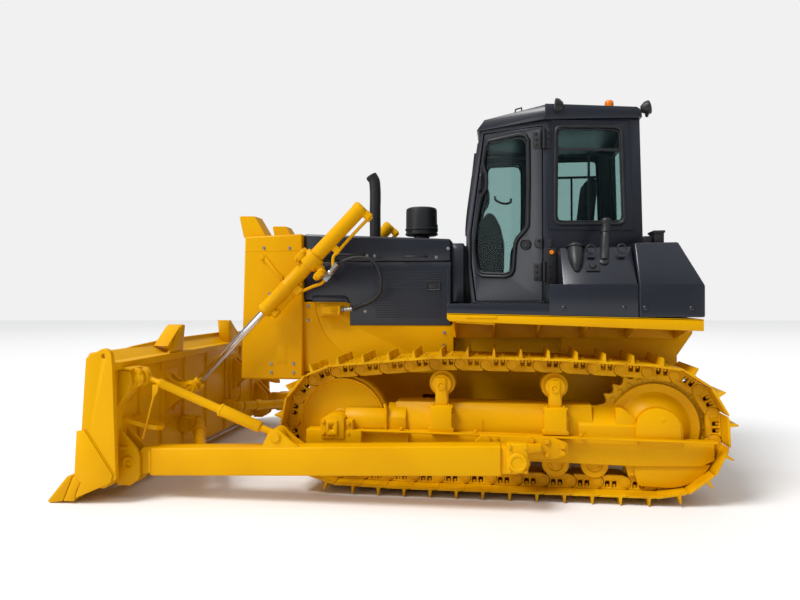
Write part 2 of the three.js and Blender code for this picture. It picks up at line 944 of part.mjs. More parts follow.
// ---- Cab ------------------------------------------------------------------------------------
const doorTurn = Math.atan2(pillarHalf - cabFrontHalf, cabFrontWaist - pillarX);
const sideTurn = Math.atan2(pillarHalf - cabRearHalf, pillarX - cabRear);
const cabFloor = deckTop + 1;
const rearLeanAt = (z) => cabRear + cabRearLean * Math.max(0, (z - tankTop) / (cabEaves - tankTop));
const frontAt = (z) =>
  z < cabWaistLow
    ? mix(cabFrontFoot, cabFrontWaist, (z - cabFloor) / (cabWaistLow - cabFloor))
    : mix(cabFrontWaist, cabFrontTop, Math.max(0, (z - cabWaistHigh) / (cabEaves - cabWaistHigh)));
const doorFaceY = (x) => pillarHalf - (x - pillarX) * Math.tan(doorTurn);

// The cab's outer solid, drawn in by a wall thickness.
function cabSolid(inset, floor, top) {
  const reach = cabFrontWaist + 100;
  const doorInset = inset / Math.cos(doorTurn);
  const half = [
    [cabRear - 100, cabRearHalf - 100 * Math.tan(sideTurn) - inset],
    [pillarX, pillarHalf - inset],
    [reach, doorFaceY(reach) - doorInset],
  ];
  const plan = [...half, ...half.map(([x, y]) => [x, -y]).reverse()];
  const profile = points(
    [rearLeanAt(floor) + inset, floor],
    [frontAt(floor) - inset, floor],
    [frontAt(cabWaistLow) - inset, cabWaistLow],
    [frontAt(cabWaistHigh) - inset, cabWaistHigh],
    [frontAt(cabEaves) - inset - (top > cabEaves ? 1 : 0), top],
    [rearLeanAt(cabEaves) + inset, top],
    [rearLeanAt(tankTop) + inset, tankTop],
  );
  return acrossY(profile, -900, 900).intersect(upZ(points(...plan), floor, top));
}

// Outline on a side face of the cab: u runs forward along the face from its origin, v is height.
function onFace(outline, origin, turn, from, to) {
  const forward = at(Math.cos(turn), -Math.sin(turn), 0);
  const inwards = forward.clone().cross(unitZ);
  const start = origin.clone().addScaledVector(inwards, from);
  return prism(
    outline,
    to - from,
    new THREE.Matrix4().makeBasis(forward, unitZ, inwards).setPosition(start),
  );
}

const pillar = at(pillarX, pillarHalf, 0);
const rearCorner = at(cabRear, cabRearHalf, 0);
const doorFaceU = (x) => (x - pillarX) / Math.cos(doorTurn);
const postWidth = 45;
const doorLow = cabFloor + 14;
const doorHigh = cabEaves - 45;

// The door's outline, larger than the leaf by `grow`.
const doorOutline = (grow) =>
  points(
    [30 - grow, doorLow - grow],
    [doorFaceU(frontAt(doorLow)) - postWidth + grow, doorLow - grow],
    [doorFaceU(frontAt(cabWaistLow)) - postWidth + grow, cabWaistLow],
    [doorFaceU(frontAt(cabWaistHigh)) - postWidth + grow, cabWaistHigh],
    [doorFaceU(frontAt(doorHigh)) - postWidth + grow, doorHigh + grow],
    [30 - grow, doorHigh + grow],
  );

const doorWindow = (shrink) =>
  points(
    [290 + shrink, 1730 + shrink],
    [doorFaceU(1365) - shrink, 1730 + shrink],
    [doorFaceU(1375) - shrink, 2100],
    [doorFaceU(1350) - shrink, 2400],
    [doorFaceU(1260) - shrink, 2900 - shrink],
    [140 + shrink, 2900 - shrink],
    [140 + shrink, 2190 + shrink / 2],
    [290 + shrink, 2030 + shrink / 2],
  );

const sideWindow = (shrink) =>
  points([140 + shrink, 2120 + shrink], [730 - shrink, 2120 + shrink], [730 - shrink, 2955 - shrink],
    [165 + shrink, 2955 - shrink]);

function doorLeaf() {
  const leaf = onFace(doorOutline(0), pillar, doorTurn, 0, cabWall);
  return cut(leaf, onFace(doorWindow(0), pillar, doorTurn, -1, cabWall + 1));
}

// A slab between two depths under a sloped front or rear wall, between two heights.
function wallSlab(xAt, direction, depth0, depth1, z0, z1, halfWidth) {
  const outline = points(
    [xAt(z0) - direction * depth0, z0],
    [xAt(z0) - direction * depth1, z0],
    [xAt(z1) - direction * depth1, z1],
    [xAt(z1) - direction * depth0, z1],
  );
  return acrossY(outline, -halfWidth, halfWidth);
}

const windshieldLow = 2130;
const rearGlassLow = 2130;
const glassHigh = cabEaves - 80;
const windshieldHalf = 370;
const rearGlassHalf = 500;

function cabFrame() {
  const shell = cut(cabSolid(0, cabFloor, cabEaves), cabSolid(cabWall, cabFloor + cabWall, cabEaves + 1));
  const opening = (side) => {
    const cutDoor = onFace(doorOutline(doorGap), pillar, doorTurn, -40, cabWall + 40);
    const cutWindow = onFace(sideWindow(0), rearCorner, -sideTurn, -20, cabWall + 40);
    const both = cutDoor.add(cutWindow);
    return side > 0 ? both : both.mirror([0, 1, 0]);
  };
  const ceiling = cabSolid(2, cabFloor, cabEaves).intersect(
    box(-999, 1999, -999, 999, cabEaves - 20, cabEaves),
  );
  return cut(
    join(shell, ceiling),
    opening(1),
    opening(-1),
    wallSlab(frontAt, 1, -40, cabWall + 30, windshieldLow, glassHigh, windshieldHalf),
    wallSlab(rearLeanAt, -1, -40, cabWall + 30, rearGlassLow, glassHigh, rearGlassHalf),
  );
}

function cabRoof() {
  const low = cabEaves + fitGap;
  const high = cabEaves + roofHeight;
  const ring = (x0, x1, grow, z) => {
    const front = doorFaceY(x1) + grow;
    return [
      [x0 - grow, cabRearHalf + grow],
      [pillarX, pillarHalf + grow],
      [x1 + grow, front],
    ].flatMap(([x, y]) => [at(x, y, z), at(x, -y, z)]);
  };
  const slab = solidOf(
    new ConvexGeometry([
      ...ring(cabRearLean, cabFrontTop, roofOverhang, low),
      ...ring(cabRearLean, cabFrontTop, roofOverhang, low + 35),
      ...ring(cabRearLean, cabFrontTop - 60, -25, high),
    ]),
  );
  const beacon = rod(at(212, 500, high - 5), at(212, 500, beaconTop), 48, 18);
  const lamp = (x, y) => box(x - 45, x + 45, y - 45, y + 45, low + 1, low + 105);
  return join(slab, beacon, lamp(700, 640), lamp(700, -640), lamp(60, 560), lamp(60, -560));
}

place("cab_frame", cabFrame(), slate);
place("cab_roof", cabRoof(), slate);
placePair("cab_door", doorLeaf(), slate);
placePair(
  "door_glass",
  onFace(doorWindow(fitGap), pillar, doorTurn, glassInset, glassInset + glassThickness),
  glass,
);
placePair(
  "side_glass",
  onFace(sideWindow(fitGap), rearCorner, -sideTurn, glassInset, glassInset + glassThickness),
  glass,
);
place(
  "windshield",
  wallSlab(frontAt, 1, glassInset, glassInset + glassThickness, windshieldLow + fitGap, glassHigh - fitGap,
    windshieldHalf - fitGap),
  glass,
);
place(
  "rear_glass",
  wallSlab(rearLeanAt, -1, glassInset, glassInset + glassThickness, rearGlassLow + fitGap, glassHigh - fitGap,
    rearGlassHalf - fitGap),
  glass,
);

// ---- Seat and dashboard ---------------------------------------------------------------------
const seatX = 560;
const seatHalf = 250;
const seatBaseTop = 1900;
const cushionTop = 2030;
const backTop = 2640;
const innerFloor = cabFloor + cabWall + fitGap;

function dashboard() {
  const outline = points(
    [1130, innerFloor], [1330, innerFloor], [1350, 1830], [1350, 2070], [1250, 2110], [1120, 1980],
  );
  return acrossY(outline, -300, 300);
}

place("seat_base", box(seatX - 210, seatX + 200, -200, 200, innerFloor, seatBaseTop), slate);
place(
  "seat_cushion",
  box(seatX - 220, seatX + 270, -seatHalf, seatHalf, seatBaseTop + fitGap, cushionTop),
  cushion,
);
place(
  "seat_back",
  acrossY(
    points(
      [seatX - 220, cushionTop + fitGap],
      [seatX - 90, cushionTop + fitGap],
      [seatX - 170, backTop],
      [seatX - 270, backTop],
    ),
    -seatHalf,
    seatHalf,
  ),
  cushion,
);
place("dashboard", dashboard(), slate);

// ---- Push arms ------------------------------------------------------------------------------
const armFrontLow = 170;
const armFrontHigh = 409;
const armRearLow = 273;
const armRearHigh = 489;
const earOuter = eyeHalfWidth + runGap; // half the gap between two ears
const strutY = armY - 820; // the diagonal strut's ball behind the blade

function pushArm() {
  const inner = armY - armHalfWidth;
  const outer = armY + armHalfWidth;
  const beam = acrossY(
    points(
      [armRear, armRearLow], [armFront, armFrontLow], [armFront, armFrontHigh],
      [armRear, armRearHigh],
    ),
    inner,
    outer,
  );
  const boss = pinAcross(trunnion, inner, outer - 20, 118, 20);
  const neck = box(trunnion.x, armRear + 40, inner, outer - 25, trunnion.z - 90, trunnion.z + 90);
  const bore = pinAcross(
    trunnion,
    inner - 1,
    inner + trunnionReach + runGap,
    trunnionRadius + pinGap,
    18,
  );
  const tongue = acrossY(
    points(
      [armFront - 60, 200],
      [pitchPin.x, pitchPin.z - eyeRadius],
      [pitchPin.x, pitchPin.z + eyeRadius],
      [armFront - 60, 380],
    ),
    armY - eyeHalfWidth,
    armY + eyeHalfWidth,
  );
  const eye = pinAcross(pitchPin, armY - eyeHalfWidth, armY + eyeHalfWidth, eyeRadius, 14);
  const eyeBore = pinAcross(pitchPin, inner, outer, pinRadius + pinGap, smallSides);
  const ear = (y0, y1) =>
    join(
      pinAcross(braceRear, y0, y1, eyeRadius, 14),
      acrossY(
        points([braceRear.x - 130, 280], [braceRear.x + 130, 280], [braceRear.x + eyeRadius - 4, braceRear.z],
          [braceRear.x - eyeRadius + 4, braceRear.z]),
        y0,
        y1,
      ),
    );
  const ears = join(
    ear(armY - earOuter - earThickness, armY - earOuter),
    ear(armY + earOuter, armY + earOuter + earThickness),
    pinAcross(
      braceRear,
      armY - earOuter - earThickness - 8,
      armY + earOuter + earThickness + 8,
      pinRadius,
      smallSides,
    ),
  );
  const strut = rod(
    at(bladeX - 817, inner + 20, 300),
    at(bladeX - 57, strutY, pitchPin.z),
    48,
    smallSides,
  );
  const ball = solidOf(new THREE.SphereGeometry(58, 12, 8).rotateX(Math.PI / 2)
    .translate(pitchPin.x - 20, strutY, pitchPin.z));
  return join(cut(join(beam, boss, neck), bore), cut(join(tongue, eye), eyeBore), ears, strut, ball);
}

placePair("push_arm", pushArm(), yellow);

// ---- Blade ----------------------------------------------------------------------------------
function moldboardCurve(offset) {
  const steps = 8;
  return Array.from({ length: steps + 1 }, (_, i) => {
    const t = i / steps;
    const hollow = moldboardDepth * 4 * t * (1 - t);
    return new THREE.Vector2(
      mix(bladeTopFront.x, bladeFoot.x, t) - hollow - offset,
      mix(bladeTopFront.z, bladeFoot.z, t),
    );
  });
}

const endPlateOutline = points(
  [bladeBackX, bladeTopZ],
  [bladeTopFront.x + 4, bladeTopFront.z],
  [bladeTopFront.x + 40, 560],
  [bladeTopFront.x + 95, 555],
  [bladeFoot.x - 10, bladeFoot.z + 15],
  [bladeX + 213, 60],
  [bladeX + 103, 60],
  [bladeBackX, 194],
);

function blade() {
  const half = bladeHalfWidth;
  const board = acrossY(
    [...moldboardCurve(0), ...moldboardCurve(moldboardThickness).reverse()],
    -half + 5,
    half - 5,
  );
  const endPlate = acrossY(endPlateOutline, half - endPlateThickness, half);
  const topBox = acrossY(
    points(
      [bladeBackX, 1010],
      [bladeX + 183, 1010],
      [bladeTopFront.x - 10, bladeTopFront.z - 10],
      [bladeX + 183, bladeTopZ],
      [bladeBackX, bladeTopZ],
    ),
    -half + 5,
    half - 5,
  );
  const midBox = acrossY(
    points([bladeX + 53, 520], [bladeX + 143, 520], [bladeX + 143, 690], [bladeX + 53, 690]),
    -half + 5,
    half - 5,
  );
  const lowBox = acrossY(
    points(
      [bladeX + 93, 110], [bladeX + 233, 110], [bladeX + 323, 200], [bladeX + 273, 330],
      [bladeX + 93, 330],
    ),
    -half + 5,
    half - 5,
  );
  const rib = (y) =>
    acrossY(
      points(
        [bladeBackX + 10, 1020], [bladeBackX + 40, 130], [bladeX + 243, 130], [bladeX + 163, 400],
        [bladeX + 123, 640], [bladeX + 163, 1020],
      ),
      y - 12,
      y + 12,
    );
  const fin = (y) => acrossY(
    points([bladeX + 33, 1140], [bladeX + 173, 1140], [bladeX + 43, 1300]),
    y - 12,
    y + 12,
  );
  const earPair = (pin, y, backX, low, high) => {
    const plate = (y0, y1) =>
      join(
        pinAcross(pin, y0, y1, eyeRadius, 14),
        acrossY(
          points(
            [pin.x, pin.z - eyeRadius + 2], [backX, low], [backX, high],
            [pin.x, pin.z + eyeRadius - 2],
          ),
          y0,
          y1,
        ),
      );
    return join(
      plate(y - earOuter - earThickness, y - earOuter),
      plate(y + earOuter, y + earOuter + earThickness),
    );
  };
  const pitchEars = earPair(pitchPin, armY, bladeX + 113, 130, 400);
  const pin = pinAcross(
    pitchPin,
    armY - earOuter - earThickness - 8,
    armY + earOuter + earThickness + 8,
    pinRadius,
    smallSides,
  );
  const braceEars = earPair(braceFront, armY, bladeX + 43, 870, 1060);
  const liftEars = earPair(liftEye, liftY, bladeX + 93, 600, 820);
  const backPad = box(bladeX + 43, bladeX + 123, liftY - 140, liftY + 140, 520, 1015);
  const ribs = join(rib(armY - 190), rib(armY + 130), rib(strutY + 360), rib(strutY - 170));
  const sideParts = join(endPlate, pitchEars, pin, braceEars, liftEars, backPad, ribs, fin(strutY));
  return join(board, topBox, midBox, lowBox, rib(0), sideParts, sideParts.mirror([0, 1, 0]));
}

function cuttingEdge() {
  const half = bladeHalfWidth;
  const clear = fitGap;
  const centre = acrossY(
    points(
      [bladeTip.x - 12, bladeTip.z],
      [bladeFoot.x + 45, 215],
      [bladeFoot.x + 15, 215],
      [bladeFoot.x + clear + 2, bladeFoot.z - 12],
      [bladeTip.x - 70, bladeTip.z + 20],
    ),
    -half,
    half,
  );
  const endBit = acrossY(
    points(
      [bladeTip.x, bladeTip.z], [bladeX + 393, 215], [bladeFoot.x + 10, 215],
      [bladeFoot.x + 2, 185], [bladeX + 444, 26],
    ),
    half - 380,
    half,
  );
  return join(centre, endBit, endBit.mirror([0, 1, 0]));
}

place("blade", blade(), yellow);
place("cutting_edge", cuttingEdge(), yellow);

// ---- Struts and cylinders: a tube that swings on its pin, and a rod that slides out of it ---
function eyeOn(point, y) {
  return pinAcross(point, y - eyeHalfWidth, y + eyeHalfWidth, eyeRadius - 4, 14);
}

const toPoint = ({ x, z }, y) => at(x, y, z);

// Hollow tube from a rear pin towards a front pin, open at its front end.
function strutTube(radius, boreRadius, length, y) {
  const rear = toPoint(braceRear, y);
  const way = toPoint(braceFront, y).sub(rear).normalize();
  const point = (s) => rear.clone().addScaledVector(way, s);
  const neck = rod(point(0), point(eyeRadius + 45), eyeHalfWidth - 2, 12);
  const tube = join(neck, rod(point(eyeRadius + 40), point(length), radius, 16));
  const bore = rod(point(length * 0.3), point(length + 10), boreRadius, 12);
  const pinHole = pinAcross(braceRear, y - 80, y + 80, pinRadius + pinGap, smallSides);
  return cut(join(cut(tube, bore), eyeOn(braceRear, y)), pinHole);
}

function strutRod(radius, startAlong, y) {
  const rear = toPoint(braceRear, y);
  const front = toPoint(braceFront, y);
  const way = front.clone().sub(rear).normalize();
  const shaft = rod(rear.clone().addScaledVector(way, startAlong), front, radius, smallSides);
  return join(shaft, eyeOn(braceFront, y));
}

place("left_brace_tube", strutTube(58, 34, 640, armY), yellow);
place("left_brace_screw", strutRod(30, 300, armY), steel);
place("tilt_cylinder", strutTube(75, 34, 700, -armY), yellow);
place("tilt_rod", strutRod(30, 330, -armY), chrome);

function liftCylinder() {
  const pivot = toPoint(liftTrunnion, liftY);
  const way = toPoint(liftEye, liftY).sub(pivot).normalize();
  const point = (s) => pivot.clone().addScaledVector(way, s);
  const barrel = rod(point(-liftBarrelAbove), point(liftBarrelBelow), liftBarrelRadius, 16);
  const collar = rod(point(-70), point(70), liftBarrelRadius + 22, 16);
  const bore = rod(point(-liftBarrelAbove + 60), point(liftBarrelBelow + 10), liftRodRadius + 2, 12);
  const yoke = pinAcross(
    liftTrunnion,
    liftY - liftBarrelRadius - 40,
    liftY + liftBarrelRadius + 46,
    40,
    12,
  );
  return cut(join(barrel, collar, yoke), bore);
}

function liftRod() {
  const pivot = toPoint(liftTrunnion, liftY);
  const eye = toPoint(liftEye, liftY);
  const way = eye.clone().sub(pivot).normalize();
  const inside = pivot.clone().addScaledVector(way, 120);
  return join(rod(inside, eye, liftRodRadius, 12), eyeOn(liftEye, liftY));
}

// Hose from its block on the main frame up to the cylinder's trunnion: back from the block, out
// from it, and above the ground.
function liftHose() {
  const route = [
    [3, 0, hoseFootZ],
    [70, 2, hoseFootZ + 2],
    [181, 42, 1475],
    [304, 82, 1526],
    [370, 105, 1590],
    [383, 112, 1660],
    [373, 116, 1760],
    [306, 118, 1862],
    [201, 120, 1891],
    [90, 120, 1862],
    [30, 120, 1810],
    [7, 120, 1786],
  ];
  const curve = new THREE.CatmullRomCurve3(
    route.map(([back, out, height]) => at(hoseBlockX - back, hoseBlockY + out, height)),
  );
  const section = new THREE.Shape().absarc(0, 0, hoseRadius, 0, 2 * Math.PI);
  return solidOf(
    new THREE.ExtrudeGeometry(
      section,
      { steps: 44, curveSegments: 5, extrudePath: curve, bevelEnabled: false },
    ),
  );
}

placePair("lift_hose", liftHose(), rubber);
placePair("lift_cylinder", liftCylinder(), yellow);
placePair("lift_rod", liftRod(), chrome);

// ---- Centred over its length, standing on the ground ----------------------------------------
const length = new THREE.Box3().setFromObject(machine);
machine.position.x = -(length.min.x + length.max.x) / 2;

export default machine;
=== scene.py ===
# Track-type bulldozer, finished on the fixed frame. Lengths are metres: x forward from the sprocket's
# axis, y to the machine's left, z up from the ground.
import json
import math
import bpy
from mathutils import Matrix, Vector


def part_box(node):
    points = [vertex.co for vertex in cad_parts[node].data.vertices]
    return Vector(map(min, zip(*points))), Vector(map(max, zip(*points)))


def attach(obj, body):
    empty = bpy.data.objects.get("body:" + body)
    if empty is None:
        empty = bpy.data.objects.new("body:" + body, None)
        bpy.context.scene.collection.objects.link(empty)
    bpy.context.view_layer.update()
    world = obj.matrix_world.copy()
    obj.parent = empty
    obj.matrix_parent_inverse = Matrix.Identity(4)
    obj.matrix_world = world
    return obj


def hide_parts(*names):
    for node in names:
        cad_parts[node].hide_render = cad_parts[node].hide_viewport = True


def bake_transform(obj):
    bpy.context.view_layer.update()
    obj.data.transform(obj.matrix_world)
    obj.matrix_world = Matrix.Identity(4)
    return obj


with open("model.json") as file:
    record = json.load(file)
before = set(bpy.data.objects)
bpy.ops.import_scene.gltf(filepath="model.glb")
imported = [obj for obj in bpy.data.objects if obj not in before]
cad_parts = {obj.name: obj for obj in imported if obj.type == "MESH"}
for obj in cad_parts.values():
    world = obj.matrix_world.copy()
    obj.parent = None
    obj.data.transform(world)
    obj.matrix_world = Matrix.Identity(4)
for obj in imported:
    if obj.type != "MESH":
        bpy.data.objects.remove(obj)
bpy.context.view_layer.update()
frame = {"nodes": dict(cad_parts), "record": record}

cadNodes = frame["nodes"]
driveLow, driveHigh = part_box("left_final_drive")
hubX = (driveLow.x + driveHigh.x) / 2  # sprocket's axis
hubZ = (driveLow.z + driveHigh.z) / 2
trackLow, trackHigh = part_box("left_track")
trackY = (trackLow.y + trackHigh.y) / 2
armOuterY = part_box("left_push_arm")[1].y
rodLow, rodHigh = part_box("left_lift_rod")
liftY = (rodLow.y + rodHigh.y) / 2
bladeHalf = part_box("blade")[1].y


# Selecting and shaping, as by hand.
def clearSelection():
    if bpy.context.object and bpy.context.object.mode != "OBJECT":
        bpy.ops.object.mode_set(mode="OBJECT")
    bpy.ops.object.select_all(action="DESELECT")


def choose(*pieces):
    clearSelection()
    for piece in pieces:
        piece.select_set(True)
    bpy.context.view_layer.objects.active = pieces[0]


def editAll(piece):
    choose(piece)
    bpy.ops.object.mode_set(mode="EDIT")
    bpy.ops.mesh.select_all(action="SELECT")


def softenEdges(piece, width, segments=2, angle=35):
    choose(piece)
    bpy.ops.object.modifier_add(type="BEVEL")
    bevel = piece.modifiers[-1]
    bevel.width = width
    bevel.segments = segments
    bevel.limit_method = "ANGLE"
    bevel.angle_limit = math.radians(angle)
    bpy.ops.object.modifier_apply(modifier=bevel.name)


def settle(piece, name, edge=0.0, segments=2, smooth=38):
    piece.name = name
    choose(piece)
    bpy.ops.object.transform_apply(location=True, rotation=True, scale=True)
    if edge:
        softenEdges(piece, edge, segments)
    choose(piece)
    bpy.ops.object.shade_smooth_by_angle(angle=math.radians(smooth))
    return piece


# A point given from the sprocket's axis, in the frame.
def spot(x, y, z):
    return Vector((hubX + x, y, z))


def onPlane(across, a, b, depth):
    return {"y": spot(a, depth, b), "x": spot(depth, a, b), "z": spot(a, b, depth)}[across]


# One loose vertex pulled along an outline.
def drawLine(places, closed):
    clearSelection()
    bpy.ops.mesh.primitive_plane_add(size=0.01, location=places[0])
    piece = bpy.context.object
    bpy.ops.object.mode_set(mode="EDIT")
    bpy.ops.mesh.select_all(action="SELECT")
    bpy.ops.mesh.merge(type="CENTER")
    for here, there in zip(places, places[1:]):
        bpy.ops.mesh.extrude_vertices_move(TRANSFORM_OT_translate={"value": there - here})
    bpy.ops.mesh.select_all(action="SELECT")
    if closed:
        bpy.ops.mesh.edge_face_add()
    return piece


# A face drawn through its corners and pulled out into a solid.
def slab(name, places, push, edge=0.0, segments=2, smooth=38):
    piece = drawLine(places, closed=True)
    bpy.ops.mesh.extrude_region_move(TRANSFORM_OT_translate={"value": push})
    bpy.ops.mesh.select_all(action="SELECT")
    bpy.ops.mesh.normals_make_consistent(inside=False)
    bpy.ops.object.mode_set(mode="OBJECT")
    return settle(piece, name, edge, segments, smooth)


# A plate of any outline: across "y" its points are (x, z), across "x" (y, z), across "z" (x, y).
def plate(name, outline, across, start, end, edge=0.004, segments=2, smooth=38):
    places = [onPlane(across, a, b, start) for a, b in outline]
    push = onPlane(across, 0, 0, end) - onPlane(across, 0, 0, start)
    return slab(name, places, push, edge, segments, smooth)


def block(name, low, high, edge=0.006, segments=2):
    clearSelection()
    middle = [(a + b) / 2 for a, b in zip(low, high)]
    size = [abs(b - a) for a, b in zip(low, high)]
    bpy.ops.mesh.primitive_cube_add(size=1, location=spot(*middle), scale=size)
    return settle(bpy.context.object, name, edge, segments)


# A lathed piece: profile points are (radius, distance along), from a centre along a direction.
def turned(name, profile, centre, direction, steps=32, edge=0.0, smooth=38):
    way = Vector(direction).normalized()
    side = way.orthogonal().normalized()
    places = [Vector(centre) + side * r + way * d for r, d in profile]
    piece = drawLine(places, closed=False)
    bpy.ops.mesh.spin(steps=steps, angle=math.tau, center=centre, axis=way)
    bpy.ops.mesh.select_all(action="SELECT")
    bpy.ops.mesh.remove_doubles(threshold=0.0002)
    bpy.ops.mesh.normals_make_consistent(inside=False)
    bpy.ops.object.mode_set(mode="OBJECT")
    return settle(piece, name, edge, 2, smooth)


def roller(name, radius, start, end, steps=20, edge=0.004):
    length = (Vector(end) - Vector(start)).length
    chamfer = min(edge, radius / 3, length / 3)
    profile = [(0, 0), (radius - chamfer, 0), (radius, chamfer), (radius, length - chamfer),
        (radius - chamfer, length), (0, length)]
    return turned(name, profile, start, Vector(end) - Vector(start), steps)


# A bent pipe, hose or handle along a few points.
def pipe(name, places, radius, smooth=True, sides=3, steps=6):
    piece = drawLine([Vector(p) for p in places], closed=False)
    bpy.ops.object.mode_set(mode="OBJECT")
    choose(piece)
    bpy.ops.object.convert(target="CURVE")
    curve = piece.data
    curve.dimensions = "3D"
    bpy.ops.object.mode_set(mode="EDIT")
    bpy.ops.curve.select_all(action="SELECT")
    if smooth:
        bpy.ops.curve.spline_type_set(type="BEZIER")
        bpy.ops.curve.handle_type_set(type="AUTOMATIC")
    bpy.ops.object.mode_set(mode="OBJECT")
    for spline in curve.splines:
        spline.resolution_u = steps
    curve.bevel_depth = radius
    curve.bevel_resolution = sides
    curve.use_fill_caps = True
    bpy.ops.object.convert(target="MESH")
    editAll(piece)
    bpy.ops.mesh.remove_doubles(threshold=0.0001)
    bpy.ops.mesh.normals_make_consistent(inside=False)
    return settle(piece, name, smooth=60)


# Turned about a given centre, which rotate needs where there is no window.
def tilted(piece, angle, axis, centre):
    editAll(piece)
    bpy.ops.transform.rotate(value=angle, orient_axis=axis, center_override=centre)
    bpy.ops.object.mode_set(mode="OBJECT")
    return piece


def copyOf(piece, name, matrix=None):
    twin = bpy.data.objects.new(name, piece.data.copy())
    bpy.context.scene.collection.objects.link(twin)
    if matrix:
        twin.data.transform(matrix)
    return twin


def joined(name, pieces):
    choose(*pieces)
    if len(pieces) > 1:
        bpy.ops.object.join()
    whole = bpy.context.object
    whole.name = name
    return whole


# A copy on the machine's right side.
def otherSide(piece, name):
    twin = copyOf(piece, name)
    editAll(twin)
    bpy.ops.transform.resize(value=(1, -1, 1), center_override=(0, 0, 0))
    bpy.ops.mesh.flip_normals()
    bpy.ops.object.mode_set(mode="OBJECT")
    return twin


# Holes or notches: the tools are taken out of the piece and thrown away.
def carve(piece, *tools):
    for tool in tools:
        choose(piece)
        bpy.ops.object.modifier_add(type="BOOLEAN")
        knife = piece.modifiers[-1]
        knife.object = tool
        knife.operation = "DIFFERENCE"
        knife.solver = "EXACT"
        bpy.ops.object.modifier_apply(modifier=knife.name)
        bpy.data.objects.remove(tool)
    return piece


# A CAD node's shape with its edges rounded.
def softened(node, name, edge=0.008, segments=2, merge=True):
    piece = copyOf(cadNodes[node], name)
    editAll(piece)
    bpy.ops.mesh.remove_doubles(threshold=0.0001)
    if merge:
        bpy.ops.mesh.dissolve_limited(angle_limit=math.radians(1))
    bpy.ops.object.mode_set(mode="OBJECT")
    return settle(piece, name, edge, segments)


# Finishes: a colour broken by darker patches, with a fine grain in the bump.
finishLooks = {
    "machine_yellow": {"color": (0.74, 0.37, 0.0, 1), "dark": (0.69, 0.33, 0.0, 1), "rough": 0.34,
        "shine": 0.08, "metal": 0.0, "grain": 260, "bump": 0.03, "patch": 1.6},
    "slate_paint": {"color": (0.011, 0.0135, 0.023, 1), "dark": (0.0085, 0.0105, 0.018, 1), "rough": 0.3,
        "shine": 0.5, "metal": 0.0, "grain": 300, "bump": 0.03, "patch": 1.4},
    "track_steel": {"color": (0.7, 0.36, 0.0, 1), "dark": (0.54, 0.25, 0.0, 1), "rough": 0.4,
        "shine": 0.12, "metal": 0.0, "grain": 120, "bump": 0.06, "patch": 5.0},
    "engine_iron": {"color": (0.06, 0.06, 0.06, 1), "dark": (0.03, 0.03, 0.03, 1), "rough": 0.7,
        "metal": 0.5, "grain": 90, "bump": 0.2, "patch": 4.0},
    "chrome_rod": {"color": (0.72, 0.73, 0.75, 1), "dark": (0.62, 0.63, 0.66, 1), "rough": 0.12,
        "metal": 1.0, "grain": 600, "bump": 0.01, "patch": 8.0},
    "exhaust_black": {"color": (0.018, 0.018, 0.02, 1), "dark": (0.01, 0.01, 0.011, 1), "rough": 0.5,
        "metal": 0.2, "grain": 200, "bump": 0.06, "patch": 5.0},
    "black_plastic": {"color": (0.016, 0.017, 0.019, 1), "dark": (0.011, 0.011, 0.013, 1), "rough": 0.42,
        "metal": 0.0, "grain": 700, "bump": 0.06, "patch": 6.0},
    "seat_cloth": {"color": (0.028, 0.029, 0.033, 1), "dark": (0.014, 0.014, 0.017, 1), "rough": 0.9,
        "metal": 0.0, "grain": 900, "bump": 0.25, "patch": 30.0},
    "hose_rubber": {"color": (0.014, 0.014, 0.015, 1), "dark": (0.009, 0.009, 0.01, 1), "rough": 0.5,
        "metal": 0.0, "grain": 500, "bump": 0.04, "patch": 9.0},
    "bare_steel": {"color": (0.42, 0.42, 0.41, 1), "dark": (0.26, 0.26, 0.26, 1), "rough": 0.35,
        "metal": 0.9, "grain": 400, "bump": 0.05, "patch": 20.0},
    "beacon_amber": {"color": (0.95, 0.24, 0.005, 1), "dark": (0.8, 0.16, 0.0, 1), "rough": 0.2,
        "metal": 0.0, "grain": 200, "bump": 0.03, "patch": 12.0},
}
glassLooks = {
    "cab_glass": {"color": (0.012, 0.022, 0.026, 1), "rough": 0.03, "solid": 0.11,
        "tint": (0.75, 0.86, 0.85, 1)},
    "lamp_glass": {"color": (0.85, 0.88, 0.9, 1), "rough": 0.08, "solid": 0.6,
        "tint": (0.9, 0.92, 0.94, 1)},
}


def newMaterial(name):
    material = bpy.data.materials.new(name)
    material.use_nodes = True
    return material, material.node_tree.nodes, material.node_tree.links


def makeFinish(name, look):
    material, nodes, links = newMaterial(name)
    shader = nodes["Principled BSDF"]
    shader.inputs["Roughness"].default_value = look["rough"]
    shader.inputs["Metallic"].default_value = look["metal"]
    shader.inputs["Specular IOR Level"].default_value = look.get("shine", 0.4)
    place = nodes.new("ShaderNodeTexCoord")
    patches = nodes.new("ShaderNodeTexNoise")
    patches.inputs["Scale"].default_value = look["patch"]
    patches.inputs["Detail"].default_value = 4
    ramp = nodes.new("ShaderNodeValToRGB")
    ramp.color_ramp.elements[0].position = 0.36
    ramp.color_ramp.elements[0].color = look["dark"]
    ramp.color_ramp.elements[1].position = 0.58
    ramp.color_ramp.elements[1].color = look["color"]
    grain = nodes.new("ShaderNodeTexNoise")
    grain.inputs["Scale"].default_value = look["grain"]
    bump = nodes.new("ShaderNodeBump")
    bump.inputs["Strength"].default_value = look["bump"]
    bump.inputs["Distance"].default_value = 0.002
    links.new(place.outputs["Object"], patches.inputs["Vector"])
    links.new(place.outputs["Object"], grain.inputs["Vector"])
    links.new(patches.outputs["Fac"], ramp.inputs["Fac"])
    links.new(ramp.outputs["Color"], shader.inputs["Base Color"])
    links.new(grain.outputs["Fac"], bump.inputs["Height"])
    links.new(bump.outputs["Normal"], shader.inputs["Normal"])
    return material


